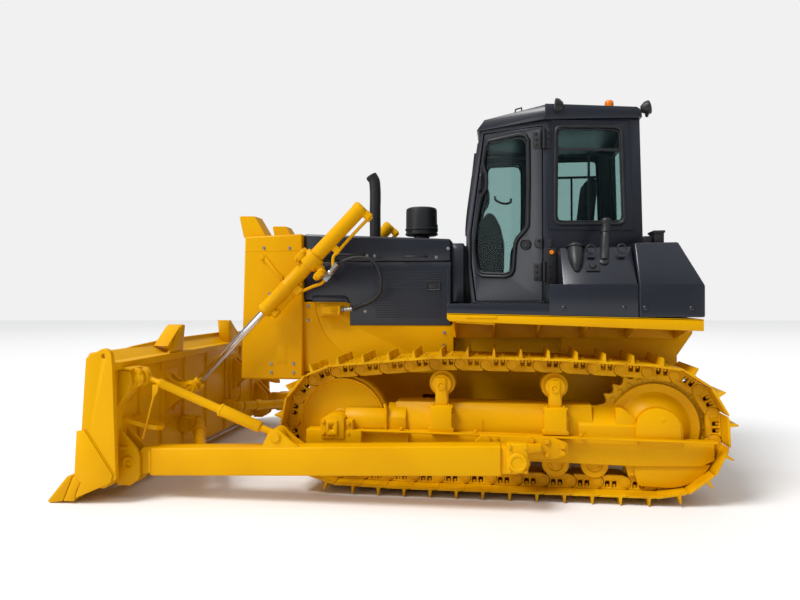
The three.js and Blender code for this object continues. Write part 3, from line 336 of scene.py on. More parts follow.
def makeGlass(name, look):
    material, nodes, links = newMaterial(name)
    shader = nodes["Principled BSDF"]
    shader.inputs["Base Color"].default_value = look["color"]
    shader.inputs["Roughness"].default_value = look["rough"]
    seeThrough = nodes.new("ShaderNodeBsdfTransparent")
    seeThrough.inputs["Color"].default_value = look["tint"]
    mix = nodes.new("ShaderNodeMixShader")
    mix.inputs["Fac"].default_value = look["solid"]
    links.new(seeThrough.outputs["BSDF"], mix.inputs[1])
    links.new(shader.outputs["BSDF"], mix.inputs[2])
    links.new(mix.outputs["Shader"], nodes["Material Output"].inputs["Surface"])
    place = nodes.new("ShaderNodeTexCoord")
    film = nodes.new("ShaderNodeTexNoise")
    film.inputs["Scale"].default_value = 1.5
    haze = nodes.new("ShaderNodeMapRange")
    haze.inputs["To Min"].default_value = look["rough"] * 0.6
    haze.inputs["To Max"].default_value = look["rough"] * 1.4
    links.new(place.outputs["Object"], film.inputs["Vector"])
    links.new(film.outputs["Fac"], haze.inputs["Value"])
    links.new(haze.outputs["Result"], shader.inputs["Roughness"])
    return material


finishes = {name: makeFinish(name, look) for name, look in finishLooks.items()}
finishes.update({name: makeGlass(name, look) for name, look in glassLooks.items()})


def paint(piece, slotName):
    piece.data.materials.clear()
    piece.data.materials.append(finishes[slotName])


# Paint a finished piece, hang it on its body, and hide the CAD nodes it stands for.
def dress(piece, slotName, body, *stoodFor):
    paint(piece, slotName)
    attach(piece, body)
    if stoodFor:
        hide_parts(*stoodFor)
    return piece


# The same on both sides; {} in a body's name is the side.
def dressPair(piece, name, slotName, body, stoodFor=()):
    piece.name = f"left_{name}"
    twin = otherSide(piece, f"right_{name}")
    for made, side in ((piece, "left"), (twin, "right")):
        dress(made, slotName, body.format(side), *[f"{side}_{node}" for node in stoodFor])


# A row for each pair: what makes it, its name, and the CAD nodes it stands for.
def dressPairs(slotName, body, *rows):
    for make, name, *nodes in rows:
        dressPair(make(), name, slotName, body, nodes)


for part in frame["record"]["subparts"]:
    node = cadNodes[part["node"]]
    node.data.materials.clear()
    node.data.materials.append(finishes[part["material_slot"]])
print("finishes ready:", len(finishes))

# Tracks: sizes are taken from a pin, along the chain and out from it.
track = {
    "shoes": 37, "phase": 0.46, "grouserFromPin": 0.144, "cadGrouserFromPin": 0.024,
    "sprocketRadius": 0.425, "idlerRadius": 0.41, "wheelBase": 2.43, "idlerRaise": 0.01,
    "carriers": [(0.748, 0.857), (1.616, 0.868)], "carrierPinRadius": 0.159, "liftX": 1.952,
    "railInner": 0.058, "railOuter": 0.101, "endRadius": 0.047, "rail": -0.055, "seat": 0.051,
    "plate": 0.015, "grouser": 0.125, "shoeHalf": (trackHigh.y - trackLow.y) / 2,
    "boltRows": (0.076, 0.127), "boltY": 0.08,
}
pinGround = hubZ - track["sprocketRadius"]


def arc(centreX, centreZ, radius, start, end, steps):
    turns = [math.radians(start + (end - start) * i / steps) for i in range(steps + 1)]
    return [(centreX + radius * math.cos(t), centreZ + radius * math.sin(t)) for t in turns]


# Direction of the normal where a belt leaves one wheel for the next; side -1 runs below them.
def tangentNormal(a, radiusA, b, radiusB, side=1):
    span = math.hypot(b[0] - a[0], b[1] - a[1])
    slope = math.atan2(b[1] - a[1], b[0] - a[0])
    return math.degrees(slope + side * math.acos((radiusA - radiusB) / span))


def pinPath():
    hub = (0, hubZ)
    idler = (track["wheelBase"], pinGround + track["idlerRaise"] + track["idlerRadius"])
    rear, front = track["carriers"]
    radius = track["carrierPinRadius"]
    leave = tangentNormal(hub, track["sprocketRadius"], rear, radius)
    between = tangentNormal(rear, radius, front, radius)
    meet = tangentNormal(front, radius, idler, track["idlerRadius"])
    lift = (track["liftX"], pinGround)
    drop = tangentNormal(lift, 0, idler, track["idlerRadius"], side=-1)
    return (arc(*hub, track["sprocketRadius"], -90, leave - 360, 60) + arc(*rear, radius, leave, between, 3)
        + arc(*front, radius, between, meet, 3) + arc(*idler, track["idlerRadius"], meet, drop, 60)
        + [lift])


def trackPins():
    path = [Vector((x, 0, z)) for x, z in pinPath()]
    closed = path + path[:1]
    steps = [(b - a).length for a, b in zip(closed, closed[1:])]
    total = sum(steps)
    shift = track["cadGrouserFromPin"] - track["grouserFromPin"]

    def pointAt(distance):
        left = distance % total
        for start, end, step in zip(closed, closed[1:], steps):
            if left <= step:
                return start.lerp(end, left / step)
            left -= step
        return closed[0]

    return [pointAt((i + track["phase"]) * total / track["shoes"] + shift) for i in range(track["shoes"])]


pins = trackPins()
pitch = max((b - a).length for a, b in zip(pins, pins[1:]))


def nutsAndBolts(name, places, radius, height):
    profile = [(0, 0), (radius, 0), (radius, height * 0.7), (radius * 0.78, height), (0, height)]
    return joined(name, [turned("bolt", profile, spot(x, y, z), (0, 0, 1 if up else -1), 6) for x, y, z,
        up in places])


# One chain link with its bushing, as if the chain lay flat with the shoe on top.
def linkModel():
    reach = track["endRadius"] + 0.004
    outline = (arc(0, 0, reach, -56, 56, 6) + [(0.029, track["seat"]), (pitch - 0.012, track["seat"])]
        + arc(pitch, 0, track["endRadius"], 78, -78, 8)
        + [(pitch - 0.012, track["rail"]), (0.029, track["rail"])])
    side = plate("link", outline, "y", track["railInner"], track["railOuter"], edge=0.0)
    windows = [block("window", (u - 0.0175, 0, -0.012), (u + 0.0175, 0.2, 0.04), edge=0.01)
        for u in track["boltRows"]]
    carve(side, *windows)
    softenEdges(side, 0.003, 1)
    nuts = nutsAndBolts("nuts", [(u, track["boltY"], 0.046, False) for u in track["boltRows"]], 0.0125,
        0.03)
    boss = roller("boss", 0.031, spot(pitch, track["railOuter"] - 0.002, 0),
        spot(pitch, track["railOuter"] + 0.004, 0), 14)
    near = joined("near", [side, nuts, boss])
    far = otherSide(near, "far")
    bushing = roller("bushing", 0.03, spot(pitch, -0.06, 0), spot(pitch, 0.06, 0), 12)
    return joined("linkModel", [near, far, bushing])


# One shoe: its ends slope so that the next shoe's lip lies under them.
def shoeModel():
    low, high, tip = track["seat"], track["seat"] + track["plate"], track["grouser"]
    g = track["grouserFromPin"]
    profile = [(0.021, low), (0.209, low - 0.002), (0.206, low + 0.006), (0.181, high), (g + 0.015, high),
        (g + 0.0055, tip - 0.004), (g + 0.002, tip), (g - 0.003, tip), (g - 0.006, tip - 0.004),
        (g - 0.012, high), (-0.006, high + 0.001), (-0.02, high - 0.006), (-0.014, low + 0.004)]
    half = track["shoeHalf"]
    body = plate("shoe", profile, "y", -half, half, edge=0.0015, segments=1)
    heads = nutsAndBolts("heads", [(u, y, high - 0.001, True) for u in track["boltRows"]
        for y in (-track["boltY"], track["boltY"])], 0.016, 0.012)
    return joined("shoeModel", [body, heads])


def laidAlong(name, model):
    home = Matrix.Translation(-spot(0, 0, 0))
    copies = []
    for i, pin in enumerate(pins):
        along = (pins[(i + 1) % len(pins)] - pin).normalized()
        out = Vector((-along.z, 0, along.x))
        turn = Matrix((along, Vector((0, 1, 0)), out)).transposed().to_4x4()
        copies.append(copyOf(model, name, Matrix.Translation(spot(pin.x, trackY, pin.z)) @ turn @ home))
    bpy.data.objects.remove(model)
    return joined(name, copies)


leftChain = laidAlong("left_chain", linkModel())
leftShoes = laidAlong("left_shoes", shoeModel())
rightChain = otherSide(leftChain, "right_chain")
rightShoes = otherSide(leftShoes, "right_shoes")
for chain, shoes, side in ((leftChain, leftShoes, "left"), (rightChain, rightShoes, "right")):
    dress(chain, "track_steel", "machine", f"{side}_track")
    dress(shoes, "track_steel", "machine", f"{side}_track")
print("tracks:", track["shoes"], "shoes a side, pitch", round(pitch, 4))


# A hexagon-headed bolt on its washer, standing on a point along a direction.
def boltModel(radius):
    washer = roller("washer", radius * 1.5, Vector((0, 0, 0)), Vector((0, 0, radius * 0.3)), 14,
        radius * 0.08)
    head = roller("head", radius, Vector((0, 0, radius * 0.3)), Vector((0, 0, radius * 1.15)), 6,
        radius * 0.15)
    return joined("boltModel", [washer, head])


def bolts(name, places, direction, radius=0.012):
    model = boltModel(radius)
    turn = Vector(direction).to_track_quat("Z", "Y").to_matrix().to_4x4()
    copies = [copyOf(model, name, Matrix.Translation(spot(*place)) @ turn) for place in places]
    bpy.data.objects.remove(model)
    return joined(name, copies)


# Sprockets and final drives.
drive = {
    "teeth": 27, "root": 0.392, "valley": 0.402, "tip": 0.434, "half": 0.024, "boltRing": 0.362,
    "rim": 0.332, "rimY": 0.992, "coneFoot": 0.246, "coneTop": 0.17, "faceY": 1.062, "capRadius": 0.16,
    "capX": -0.02, "capZ": 0.54, "capFoot": 0.42, "capY": 1.105,
}


def sprocketRing():
    outline = []
    for tooth in range(drive["teeth"]):
        for share, radius in ((0, drive["root"]), (0.22, drive["valley"]), (0.43, drive["tip"]),
                (0.57, drive["tip"]), (0.78, drive["valley"])):
            angle = math.tau * (tooth + share) / drive["teeth"]
            outline.append((radius * math.cos(angle), hubZ + radius * math.sin(angle)))
    ring = plate("sprocket", outline, "y", trackY - drive["half"], trackY + drive["half"], 0.003, 1)
    places = [(drive["boltRing"] * math.cos(math.tau * (i + 0.5) / 27), trackY + drive["half"],
        hubZ + drive["boltRing"] * math.sin(math.tau * (i + 0.5) / 27)) for i in range(27)]
    return joined("sprocket", [ring, bolts("ringBolts", places, (0, 1, 0), 0.013)])


def driveCase():
    lowY = driveLow.y
    profile = [(0, lowY), (0.27, lowY), (0.3, lowY + 0.02), (0.3, trackY - 0.05),
        (drive["rim"] - 0.02, trackY - 0.045), (drive["rim"] - 0.02, drive["rimY"] - 0.02),
        (drive["rim"], drive["rimY"] - 0.016), (drive["rim"], drive["rimY"] - 0.004),
        (drive["rim"] - 0.006, drive["rimY"]), (drive["rim"] - 0.022, drive["rimY"] - 0.004),
        (drive["coneFoot"] + 0.02, drive["rimY"] - 0.012), (drive["coneFoot"], drive["rimY"]),
        (drive["coneFoot"] - 0.012, drive["rimY"] + 0.016),
        (drive["coneTop"] + 0.012, drive["faceY"] - 0.008), (drive["coneTop"], drive["faceY"]),
        (0, drive["faceY"])]
    return turned("driveCase", profile, spot(0, 0, hubZ), (0, 1, 0), 56, smooth=30)


# Round-topped cap in front of the final drive, with its plug.
def driveCap():
    x, z, r = drive["capX"], drive["capZ"], drive["capRadius"]
    outline = [(x + r, drive["capFoot"])] + arc(x, z, r, 0, 180, 20) + [(x - r, drive["capFoot"])]
    cap = plate("driveCap", outline, "y", drive["faceY"] - 0.01, drive["capY"], 0.006)
    plug = bolts("plug", [(x - 0.012, drive["capY"], z + 0.085)], (0, 1, 0), 0.016)
    return joined("driveCap", [cap, plug])


dressPairs("track_steel", "machine", (sprocketRing, "sprocket_ring", "sprocket"))
dressPairs("machine_yellow", "machine", (driveCase, "drive_case", "final_drive"), (driveCap, "drive_cap"))

# Track frames, idlers, carriers and rollers.
frameLook = {
    "guardY": 1.17, "trunnion": (1.045, 0.38), "plateY": 1.222,
}
roll = {"count": 6, "first": 0.452, "last": 1.912, "z": 0.262}
idlerHubZ = pinGround + track["idlerRaise"] + track["idlerRadius"]


# Lower plate in front of the sprocket: flat foot, rounded up at the rear.
def lowerGuard():
    outline = [(0.165, 0.3), (0.16, 0.2), (0.138, 0.125), (0.115, 0.114), (-0.07, 0.108)]
    outline += arc(-0.075, 0.455, 0.347, -92, -152, 8)
    lower = plate("lowerGuard", outline, "y", 1.04, 1.075, 0.006)
    step = plate("guardStep", [(0.24, 0.31), (0.205, 0.18), (0.12, 0.185), (0.12, 0.31)], "y", 1.03, 1.062)
    plug = bolts("guardBolts", [(0.214, 1.062, 0.278), (0.18, 1.062, 0.205)], (0, 1, 0), 0.011)
    return joined("lowerGuard", [lower, step, plug])


# Box beside the drive cap that closes the rear of the track frame, with a sloped top.
def frameCover():
    outline = [(0.96, 0.42), (1.098, 0.42), (1.098, 0.568), (1.06, 0.6), (0.96, 0.705)]
    cover = plate("frameCover", outline, "x", 0.135, 0.575, 0.006)
    neck = plate("coverNeck", [(0.15, 0.5), (0.15, 0.62), (0.25, 0.702), (0.3, 0.702), (0.3, 0.5)], "y",
        0.985, 1.085, 0.008)
    caps = bolts("coverBolts", [(0.535, 1.085, 0.52), (0.3, 1.085, 0.5)], (0, 1, 0), 0.013)
    return joined("frameCover", [cover, neck, caps])


# Clamp on a carrier roller's shaft: box foot, tapered neck, split top with a plug.
def carrierClamp(x, z):
    foot = plate("foot", [(x - 0.095, 0.5), (x + 0.1, 0.5), (x + 0.1, 0.53), (x + 0.085, 0.54),
        (x + 0.085, 0.7), (x - 0.08, 0.7), (x - 0.08, 0.54), (x - 0.095, 0.53)], "y", 1.06, 1.155, 0.006)
    neck = plate("neck", [(x - 0.048, 0.695), (x + 0.052, 0.695), (x + 0.044, z - 0.07),
        (x + 0.044, z + 0.052), (x - 0.034, z + 0.052), (x - 0.038, z - 0.07)], "y", 1.058, 1.12, 0.006)
    lip = block("lip", (x - 0.088, 1.052, 0.686), (x + 0.092, 1.15, 0.706), 0.005)
    ring = turned("ring", [(0.018, 0), (0.034, 0), (0.034, 0.008), (0.022, 0.01), (0.018, 0.004)],
        spot(x + 0.004, 1.119, z - 0.01), (0, 1, 0), 20)
    plug = roller("plug", 0.019, spot(x + 0.004, 1.112, z - 0.01), spot(x + 0.004, 1.124, z - 0.01), 16)
    edges = bolts("clampBolts", [(x - 0.06, 1.135, 0.706), (x + 0.066, 1.135, 0.706)], (0, 0, 1), 0.01)
    return joined("carrierClamp", [foot, neck, lip, ring, plug, edges])


# Block that slides the idler, bolted on its plate with a greasing hole.
def idlerBlock():
    x = 2.475
    base = block("base", (x - 0.235, 1.055, 0.388), (x + 0.212, 1.2, 0.508), 0.008)
    body = plate("body", [(x - 0.1, 0.44), (x + 0.082, 0.44), (x + 0.09, 0.455), (x + 0.09, 0.585),
        (x + 0.07, 0.6), (x + 0.02, 0.632), (x - 0.06, 0.632), (x - 0.1, 0.605)], "y", 1.05, 1.214, 0.006)
    boss = block("boss", (x - 0.05, 1.205, 0.47), (x + 0.04, 1.232, 0.585), 0.008)
    hole = roller("hole", 0.016, spot(x, 1.2, 0.528), spot(x, 1.26, 0.528), 16)
    carve(boss, hole)
    side = block("side", (x - 0.165, 1.06, 0.455), (x - 0.098, 1.19, 0.585), 0.008)
    places = [(x + 0.066, 1.214, 0.575), (x + 0.066, 1.214, 0.485), (x - 0.13, 1.19, 0.56),
        (x - 0.13, 1.19, 0.48)]
    return joined("idlerBlock", [base, body, boss, side, bolts("blockBolts", places, (0, 1, 0), 0.014)])


# The recoil housing that stands proud of the frame between idler and carrier.
def recoilHousing():
    outline = [(1.062, 0.505), (1.122, 0.505), (1.122, 0.585), (1.1, 0.618), (1.062, 0.668)]
    front = plate("front", outline, "x", 2.06, 2.395, 0.008)
    rear = plate("rear", [(0.99, 0.505), (1.108, 0.505), (1.108, 0.6), (1.078, 0.64), (0.99, 0.704)], "x",
        1.9, 2.052, 0.008)
    rib = plate("rib", [(2.048, 0.5), (2.066, 0.5), (2.066, 0.66), (2.078, 0.7), (2.06, 0.7),
        (2.048, 0.655)], "y", 1.062, 1.128, 0.003)
    skirt = plate("skirt", [(1.88, 0.3), (2.36, 0.345), (2.41, 0.4), (2.41, 0.507), (1.88, 0.507)], "y",
        1.095, 1.12)
    return joined("recoilHousing", [front, rear, rib, skirt])


# Block that holds the push arm on its trunnion, with the cap over the pin.
def trunnionClamp():
    x, z = frameLook["trunnion"]
    outer = armOuterY
    clamp = block("clamp", (0.972, outer - 0.09, 0.3), (1.122, outer + 0.004, 0.508), 0.014, 3)
    cap = turned("cap", [(0, 0.0), (0.066, 0.0), (0.066, 0.03), (0.06, 0.036), (0.046, 0.036), (0.042, 0.03),
        (0, 0.03)], spot(x, outer - 0.002, z), (0, 1, 0), 36)
    places = [(0.992, outer + 0.004, z + 0.105), (1.102, outer + 0.004, z + 0.105),
        (0.99, outer + 0.004, z - 0.062), (1.104, outer + 0.004, z - 0.062)]
    return joined("trunnionClamp", [clamp, cap, bolts("clampStuds", places, (0, 1, 0), 0.013)])


# Plate bolted to the track frame's side, which carries the trunnion.
def trunnionPlate():
    x, z = frameLook["trunnion"]
    web = plate("web", [(1.359, 0.451), (1.301, 0.504), (0.769, 0.49), (0.669, 0.452), (0.662, 0.384),
        (0.736, 0.336), (0.915, 0.33), (1.348, 0.433)], "y", 1.15, frameLook["plateY"], 0.008)
    tie = plate("tie", [(0.99, 0.452), (0.862, 0.455), (0.862, 0.4), (0.99, 0.38)], "y",
        frameLook["plateY"] - 0.01, frameLook["plateY"] + 0.06, 0.008)
    hub = roller("hub", 0.074, spot(x, 1.16, z), spot(x, armOuterY - 0.165, z), 28)
    places = [(at, frameLook["plateY"], up) for at, up in ((1.255, 0.468), (1.198, 0.469), (0.933, 0.47),
        (0.82, 0.468), (0.704, 0.433), (0.704, 0.383), (0.82, 0.368))]
    heads = bolts("plateBolts", places, (0, 1, 0), 0.019)
    return joined("trunnionPlate", [web, tie, hub, heads])


def frameTrim():
    guardY = frameLook["guardY"]
    seams = [block("seam", (x - 0.002, 1.075, 0.505), (x + 0.002, 1.084, 0.59), 0.0) for x in (0.64, 1.3)]
    places = [(1.93, guardY - 0.035, 0.512), (1.35, guardY - 0.035, 0.508), (0.56, guardY - 0.035, 0.498)]
    studs = bolts("studs", places, (0, 0, 1), 0.014)
    lip = plate("lip", [(-0.402, 0.47), (-0.402, 0.482), (2.3, 0.508), (2.3, 0.496)], "y", 1.13,
        guardY + 0.012, 0.003)
    return joined("frameTrim", seams + [studs, lip])


# Idler: flanged rim and a plain domed dish.
def idlerWheel():
    x, z = track["wheelBase"], idlerHubZ
    half = [(0.0, 0.118), (0.095, 0.118), (0.11, 0.106), (0.215, 0.1), (0.3, 0.084), (0.33, 0.08),
        (0.34, 0.098), (0.35, 0.098), (0.352, 0.052), (0.372, 0.046)]
    profile = half + [(radius, -side) for radius, side in reversed(half)]
    wheel = turned("wheel", profile, spot(x, trackY, z), (0, 1, 0), 56, smooth=30)
    shaft = roller("shaft", 0.052, spot(x, trackY - 0.137, z), spot(x, trackY + 0.137, z), 24)
    return joined("idlerWheel", [wheel, shaft])


# Track rollers: double flanges, a stepped end cap with its screws.
def trackRollers():
    half = [(0.0, 0.112), (0.03, 0.112), (0.034, 0.104), (0.058, 0.102), (0.064, 0.112), (0.099, 0.112),
        (0.104, 0.108), (0.104, 0.102), (0.082, 0.096), (0.082, 0.056), (0.072, 0.05)]
    profile = half + [(radius, -side) for radius, side in reversed(half)]
    made = []
    for i in range(roll["count"]):
        x = roll["first"] + i * (roll["last"] - roll["first"]) / (roll["count"] - 1)
        made.append(turned("roller", profile, spot(x, trackY, roll["z"]), (0, 1, 0), 28, smooth=30))
        screws = [(x + 0.047 * math.cos(t), trackY + 0.103, roll["z"] + 0.047 * math.sin(t))
            for t in (0.5, 2.07, 3.64, 5.2)]
        made.append(bolts("screws", screws, (0, 1, 0), 0.006))
    return joined("trackRollers", made)


def carrierClamps():
    return joined("clamps", [carrierClamp(*place) for place in track["carriers"]])


def frameBody():
    return softened("left_track_frame", "track_frame", 0.006)


dressPairs("machine_yellow", "machine", (frameBody, "track_frame_body", "track_frame"),
    (idlerWheel, "idler_wheel", "idler"), (trackRollers, "roller_set", "track_rollers"),
    (lowerGuard, "lower_guard"), (frameCover, "frame_cover"), (carrierClamps, "carrier_clamps"),
    (idlerBlock, "idler_block"), (recoilHousing, "recoil_housing"), (frameTrim, "frame_trim"))
dressPairs("machine_yellow", "push_frame", (trunnionClamp, "trunnion_clamp"))
dressPairs("machine_yellow", "machine", (trunnionPlate, "trunnion_plate"))
print("undercarriage done")

# Push arm: boxed beam, a narrower tongue to the blade's pin, and the ears of the brace.
arm = {
    "y": armOuterY - 0.08, "half": 0.08, "rearX": 1.16, "frontX": 3.856, "pin": (4.017, 0.275),
    "rearLow": 0.273, "rearHigh": 0.489, "frontLow": 0.182, "frontHigh": 0.396, "eye": 0.062,
    "brace": (2.831, 0.506), "earGap": 0.042, "ear": 0.03, "ball": (3.935, 0.48, 0.385),
    "strutFoot": (3.48, 1.375, 0.29),
}


# Two ears, one on each side of an eye.
def earPair(outline, y, edge):
    ears = []
    for side in (-1, 1):
        near, far = y + side * arm["earGap"], y + side * (arm["earGap"] + arm["ear"])
        ears.append(plate("ear", outline, "y", min(near, far), max(near, far), edge))
    return ears


def pushArm():
    y, half = arm["y"], arm["half"]
    beam = plate("beam", [(arm["rearX"], arm["rearLow"]), (arm["frontX"] - 0.03, arm["frontLow"]),
        (arm["frontX"], arm["frontLow"] + 0.03), (arm["frontX"], arm["frontHigh"] - 0.03),
        (arm["frontX"] - 0.03, arm["frontHigh"]), (arm["rearX"], arm["rearHigh"])], "y", y - half, y + half,
        0.014, 3)
    x, z = arm["pin"]
    tongue = plate("tongue", [(x - 0.22, 0.195), (x - 0.09, 0.185), (x - 0.035, 0.225)]
        + arc(x, z, arm["eye"], -60, 90, 10) + [(x - 0.06, 0.352), (x - 0.1, 0.392), (x - 0.22, 0.392)], "y",
        y - 0.034, y + 0.034, 0.006)
    weld = pipe("weld", [spot(arm["frontX"] - 0.026, y + half + 0.001, z2) for z2 in (0.19, 0.29, 0.39)],
        0.004)
    neck = plate("neck", [(arm["rearX"] + 0.05, 0.285), (arm["rearX"] + 0.05, 0.478), (1.045, 0.478),
        (1.045, 0.285)], "y", y - half, y + half - 0.02, 0.01)
    boss = roller("boss", 0.082, spot(1.045, y - half, 0.38), spot(1.045, y + half - 0.022, 0.38), 28,
        0.008)
    bx, bz = arm["brace"]
    pieces = [beam, tongue, weld, neck, boss]
    pieces += earPair([(bx + 0.13, 0.38), (bx + 0.055, 0.535)] + arc(bx, bz, arm["eye"], 28, 150, 8)
        + [(bx - 0.12, 0.478), (bx - 0.165, 0.45), (bx - 0.23, 0.4)], y, 0.005)
    pieces.append(roller("pinHead", 0.036, spot(bx, y - 0.085, bz), spot(bx, y + 0.085, bz), 20))
    pieces.append(roller("pinCap", 0.046, spot(bx, y + 0.07, bz), spot(bx, y + 0.078, bz), 20))
    return joined("pushArm", pieces)


# Diagonal strut from the arm to its ball behind the blade, with the clamp that holds the ball.
def diagonalStrut():
    foot, ball = spot(*arm["strutFoot"]), spot(*arm["ball"])
    way = (ball - foot).normalized()
    tube = roller("strut", 0.046, foot, ball - way * 0.05, 24)
    sleeve = roller("sleeve", 0.06, ball - way * 0.3, ball - way * 0.22, 24, 0.006)
    knob = turned("ball", [(0, -0.055)] + [(0.055 * math.cos(math.radians(t)),
        0.055 * math.sin(math.radians(t))) for t in range(-75, 90, 15)] + [(0, 0.055)], ball, (1, 0, 0), 20,
        smooth=60)
    pad = plate("pad", [(3.34, 0.235), (3.62, 0.205), (3.62, 0.376), (3.34, 0.39)], "y", 1.33, 1.366, 0.006)
    return joined("diagonalStrut", [tube, sleeve, knob, pad])


dressPairs("machine_yellow", "push_frame", (pushArm, "push_arm_beam", "push_arm"),
    (diagonalStrut, "diagonal_strut"))

# Blade: a hollow curved front, a flat boxed back, end plates and the ears and steps on its back.
dozer = {
    "topFront": (4.261, 1.115), "foot": (4.375, 0.2), "hollow": 0.15, "half": 1.65, "backTop": 4.088,
    "backFoot": 4.104, "endInner": 1.642, "endOuter": 1.682, "overlay": bladeHalf, "liftY": liftY,
    "liftEye": (3.854, 0.761), "braceEye": (3.927, 0.944), "ribs": (1.575, 1.235, 0.88, 0.47, 0.0),
}


def boardCurve(steps=14):
    (topX, topZ), (footX, footZ) = dozer["topFront"], dozer["foot"]
    curve = []
    for i in range(steps + 1):
        t = i / steps
        hollow = dozer["hollow"] * 4 * t * (1 - t)
        curve.append((topX + (footX - topX) * t - hollow, topZ + (footZ - topZ) * t))
    return curve


def moldboard():
    outline = boardCurve() + [(4.345, 0.118), (4.135, 0.112), (dozer["backFoot"], 0.135),
        (dozer["backTop"], 1.0), (4.046, 1.004), (4.04, 1.062), (4.118, 1.07), (4.212, 1.14), (4.246, 1.14)]
    shell = plate("shell", outline, "y", -dozer["half"], dozer["half"], 0.005, smooth=28)
    spill = plate("spill", [(-1.64, 1.05), (1.64, 1.05), (1.64, 1.108), (1.35, 1.121), (1.09, 1.149),
        (0.6, 1.171), (-0.6, 1.171), (-1.28, 1.148), (-1.64, 1.108)], "x", 4.212, 4.244, 0.004)
    pieces = [shell, spill]
    for y in dozer["ribs"]:
        for side in {y, -y}:
            pieces.append(plate("rib", [(4.115, 0.12), (4.09, 0.15), (4.078, 0.3), (4.07, 1.006),
                (4.11, 1.006)], "y", side - 0.009, side + 0.009, 0.003))
    return joined("moldboard", pieces)


# Spill guard fin, folded from two plates with a rounded tip.
def fin():
    outer = plate("outer", [(0.815, 1.128), (0.79, 1.124), (0.548, 1.29), (0.51, 1.302), (0.53, 1.308),
        (0.56, 1.304), (0.6, 1.282)], "x", 4.06, 4.196, 0.004)
    rear = plate("rear", [(0.8, 1.066), (0.545, 1.066), (0.5, 1.3), (0.556, 1.308)], "x", 4.052, 4.076,
        0.004)
    inner = plate("inner", [(0.556, 1.068), (0.534, 1.068), (0.5, 1.298), (0.53, 1.298)], "x", 4.06, 4.18,
        0.004)
    return joined("fin", [outer, rear, inner])


def endPlate():
    outline = [(4.017, 0.194), (4.04, 1.04)] + arc(4.107, 1.115, 0.06, 178, 60, 9)
    outline += [(4.255, 1.105), (4.276, 0.85), (4.297, 0.561), (4.336, 0.24), (4.33, 0.06), (4.07, 0.17)]
    body = plate("body", outline, "y", dozer["endInner"], dozer["endOuter"], 0.0)
    hole = roller("hole", 0.019, spot(4.11, 1.6, 1.118), spot(4.11, 1.75, 1.118), 20, 0.0001)
    carve(body, hole)
    softenEdges(body, 0.004)
    overlay = plate("overlay", [(4.331, 0.553), (4.267, 0.561), (4.04, 0.231), (4.052, 0.18), (4.064, 0.165),
        (4.34, 0.045), (4.34, 0.07), (4.3, 0.165), (4.352, 0.22)], "y", dozer["endOuter"] - 0.001,
        dozer["overlay"], 0.004)
    rim = pipe("weld", [spot(x, dozer["endOuter"] + 0.002, z) for x, z in ((4.262, 0.566), (4.034, 0.234))],
        0.005)
    rearBar = plate("rearBar", [(4.366, 0.206), (4.312, 0.206), (4.3, 0.165), (4.338, 0.1), (4.362, 0.016),
        (4.448, 0.016)], "y", 1.56, 1.69, 0.006)
    return joined("endPlate", [body, overlay, rim, rearBar])


# Cutting edge in three lengths and the two end bits, with their countersunk bolts.
def cuttingEdges():
    pieces = []
    low, high = -1.3, 1.3
    for i in range(3):
        start = low + (high - low) * i / 3 + 0.002
        end = low + (high - low) * (i + 1) / 3 - 0.002
        pieces.append(plate("edge", [(4.566, 0.012), (4.42, 0.214), (4.392, 0.208), (4.52, 0.016)], "y",
            start, end, 0.004))
    for side in (-1, 1):
        inner, outer = 1.303 * side, dozer["overlay"] * side
        pieces.append(plate("endBit", [(4.577, 0.014), (4.563, 0.001), (4.452, 0.016), (4.372, 0.2),
            (4.38, 0.21), (4.412, 0.208)], "y", min(inner, outer), max(inner, outer), 0.006))
    places = [(4.495 + 0.03 * row, -1.25 + 0.25 * i, 0.116 - 0.042 * row) for row in (0, 1)
        for i in range(11)]
    pieces.append(bolts("edgeBolts", places, (0.81, 0, 0.586), 0.012))
    return joined("cuttingEdges", pieces)


# Ears for the push arm's pin, seen from outside: tall plate, round boss and a short bar.
def pitchEars():
    y, (x, z) = arm["y"], arm["pin"]
    pieces = earPair([(4.12, 0.098), (4.01, 0.098), (3.945, 0.14), (3.928, 0.19), (3.928, 0.33),
        (3.95, 0.385), (4.075, 0.52), (4.12, 0.52)], y, 0.006)
    ring = [(0.0, 0.012), (0.016, 0.012), (0.02, 0.006), (0.03, 0.006), (0.034, 0.014), (0.05, 0.014),
        (0.054, 0.008), (0.054, -0.002)]
    pieces.append(turned("boss", ring, spot(x, y + arm["earGap"] + arm["ear"], z), (0, 1, 0), 28))
    pieces.append(roller("pitchPin", 0.028, spot(x, y - 0.076, z), spot(x, y + 0.076, z), 20))
    pieces.append(pipe("bar", [spot(4.082, 1.53, 0.395), spot(4.02, 1.53, 0.395)], 0.011))
    return joined("pitchEars", pieces)


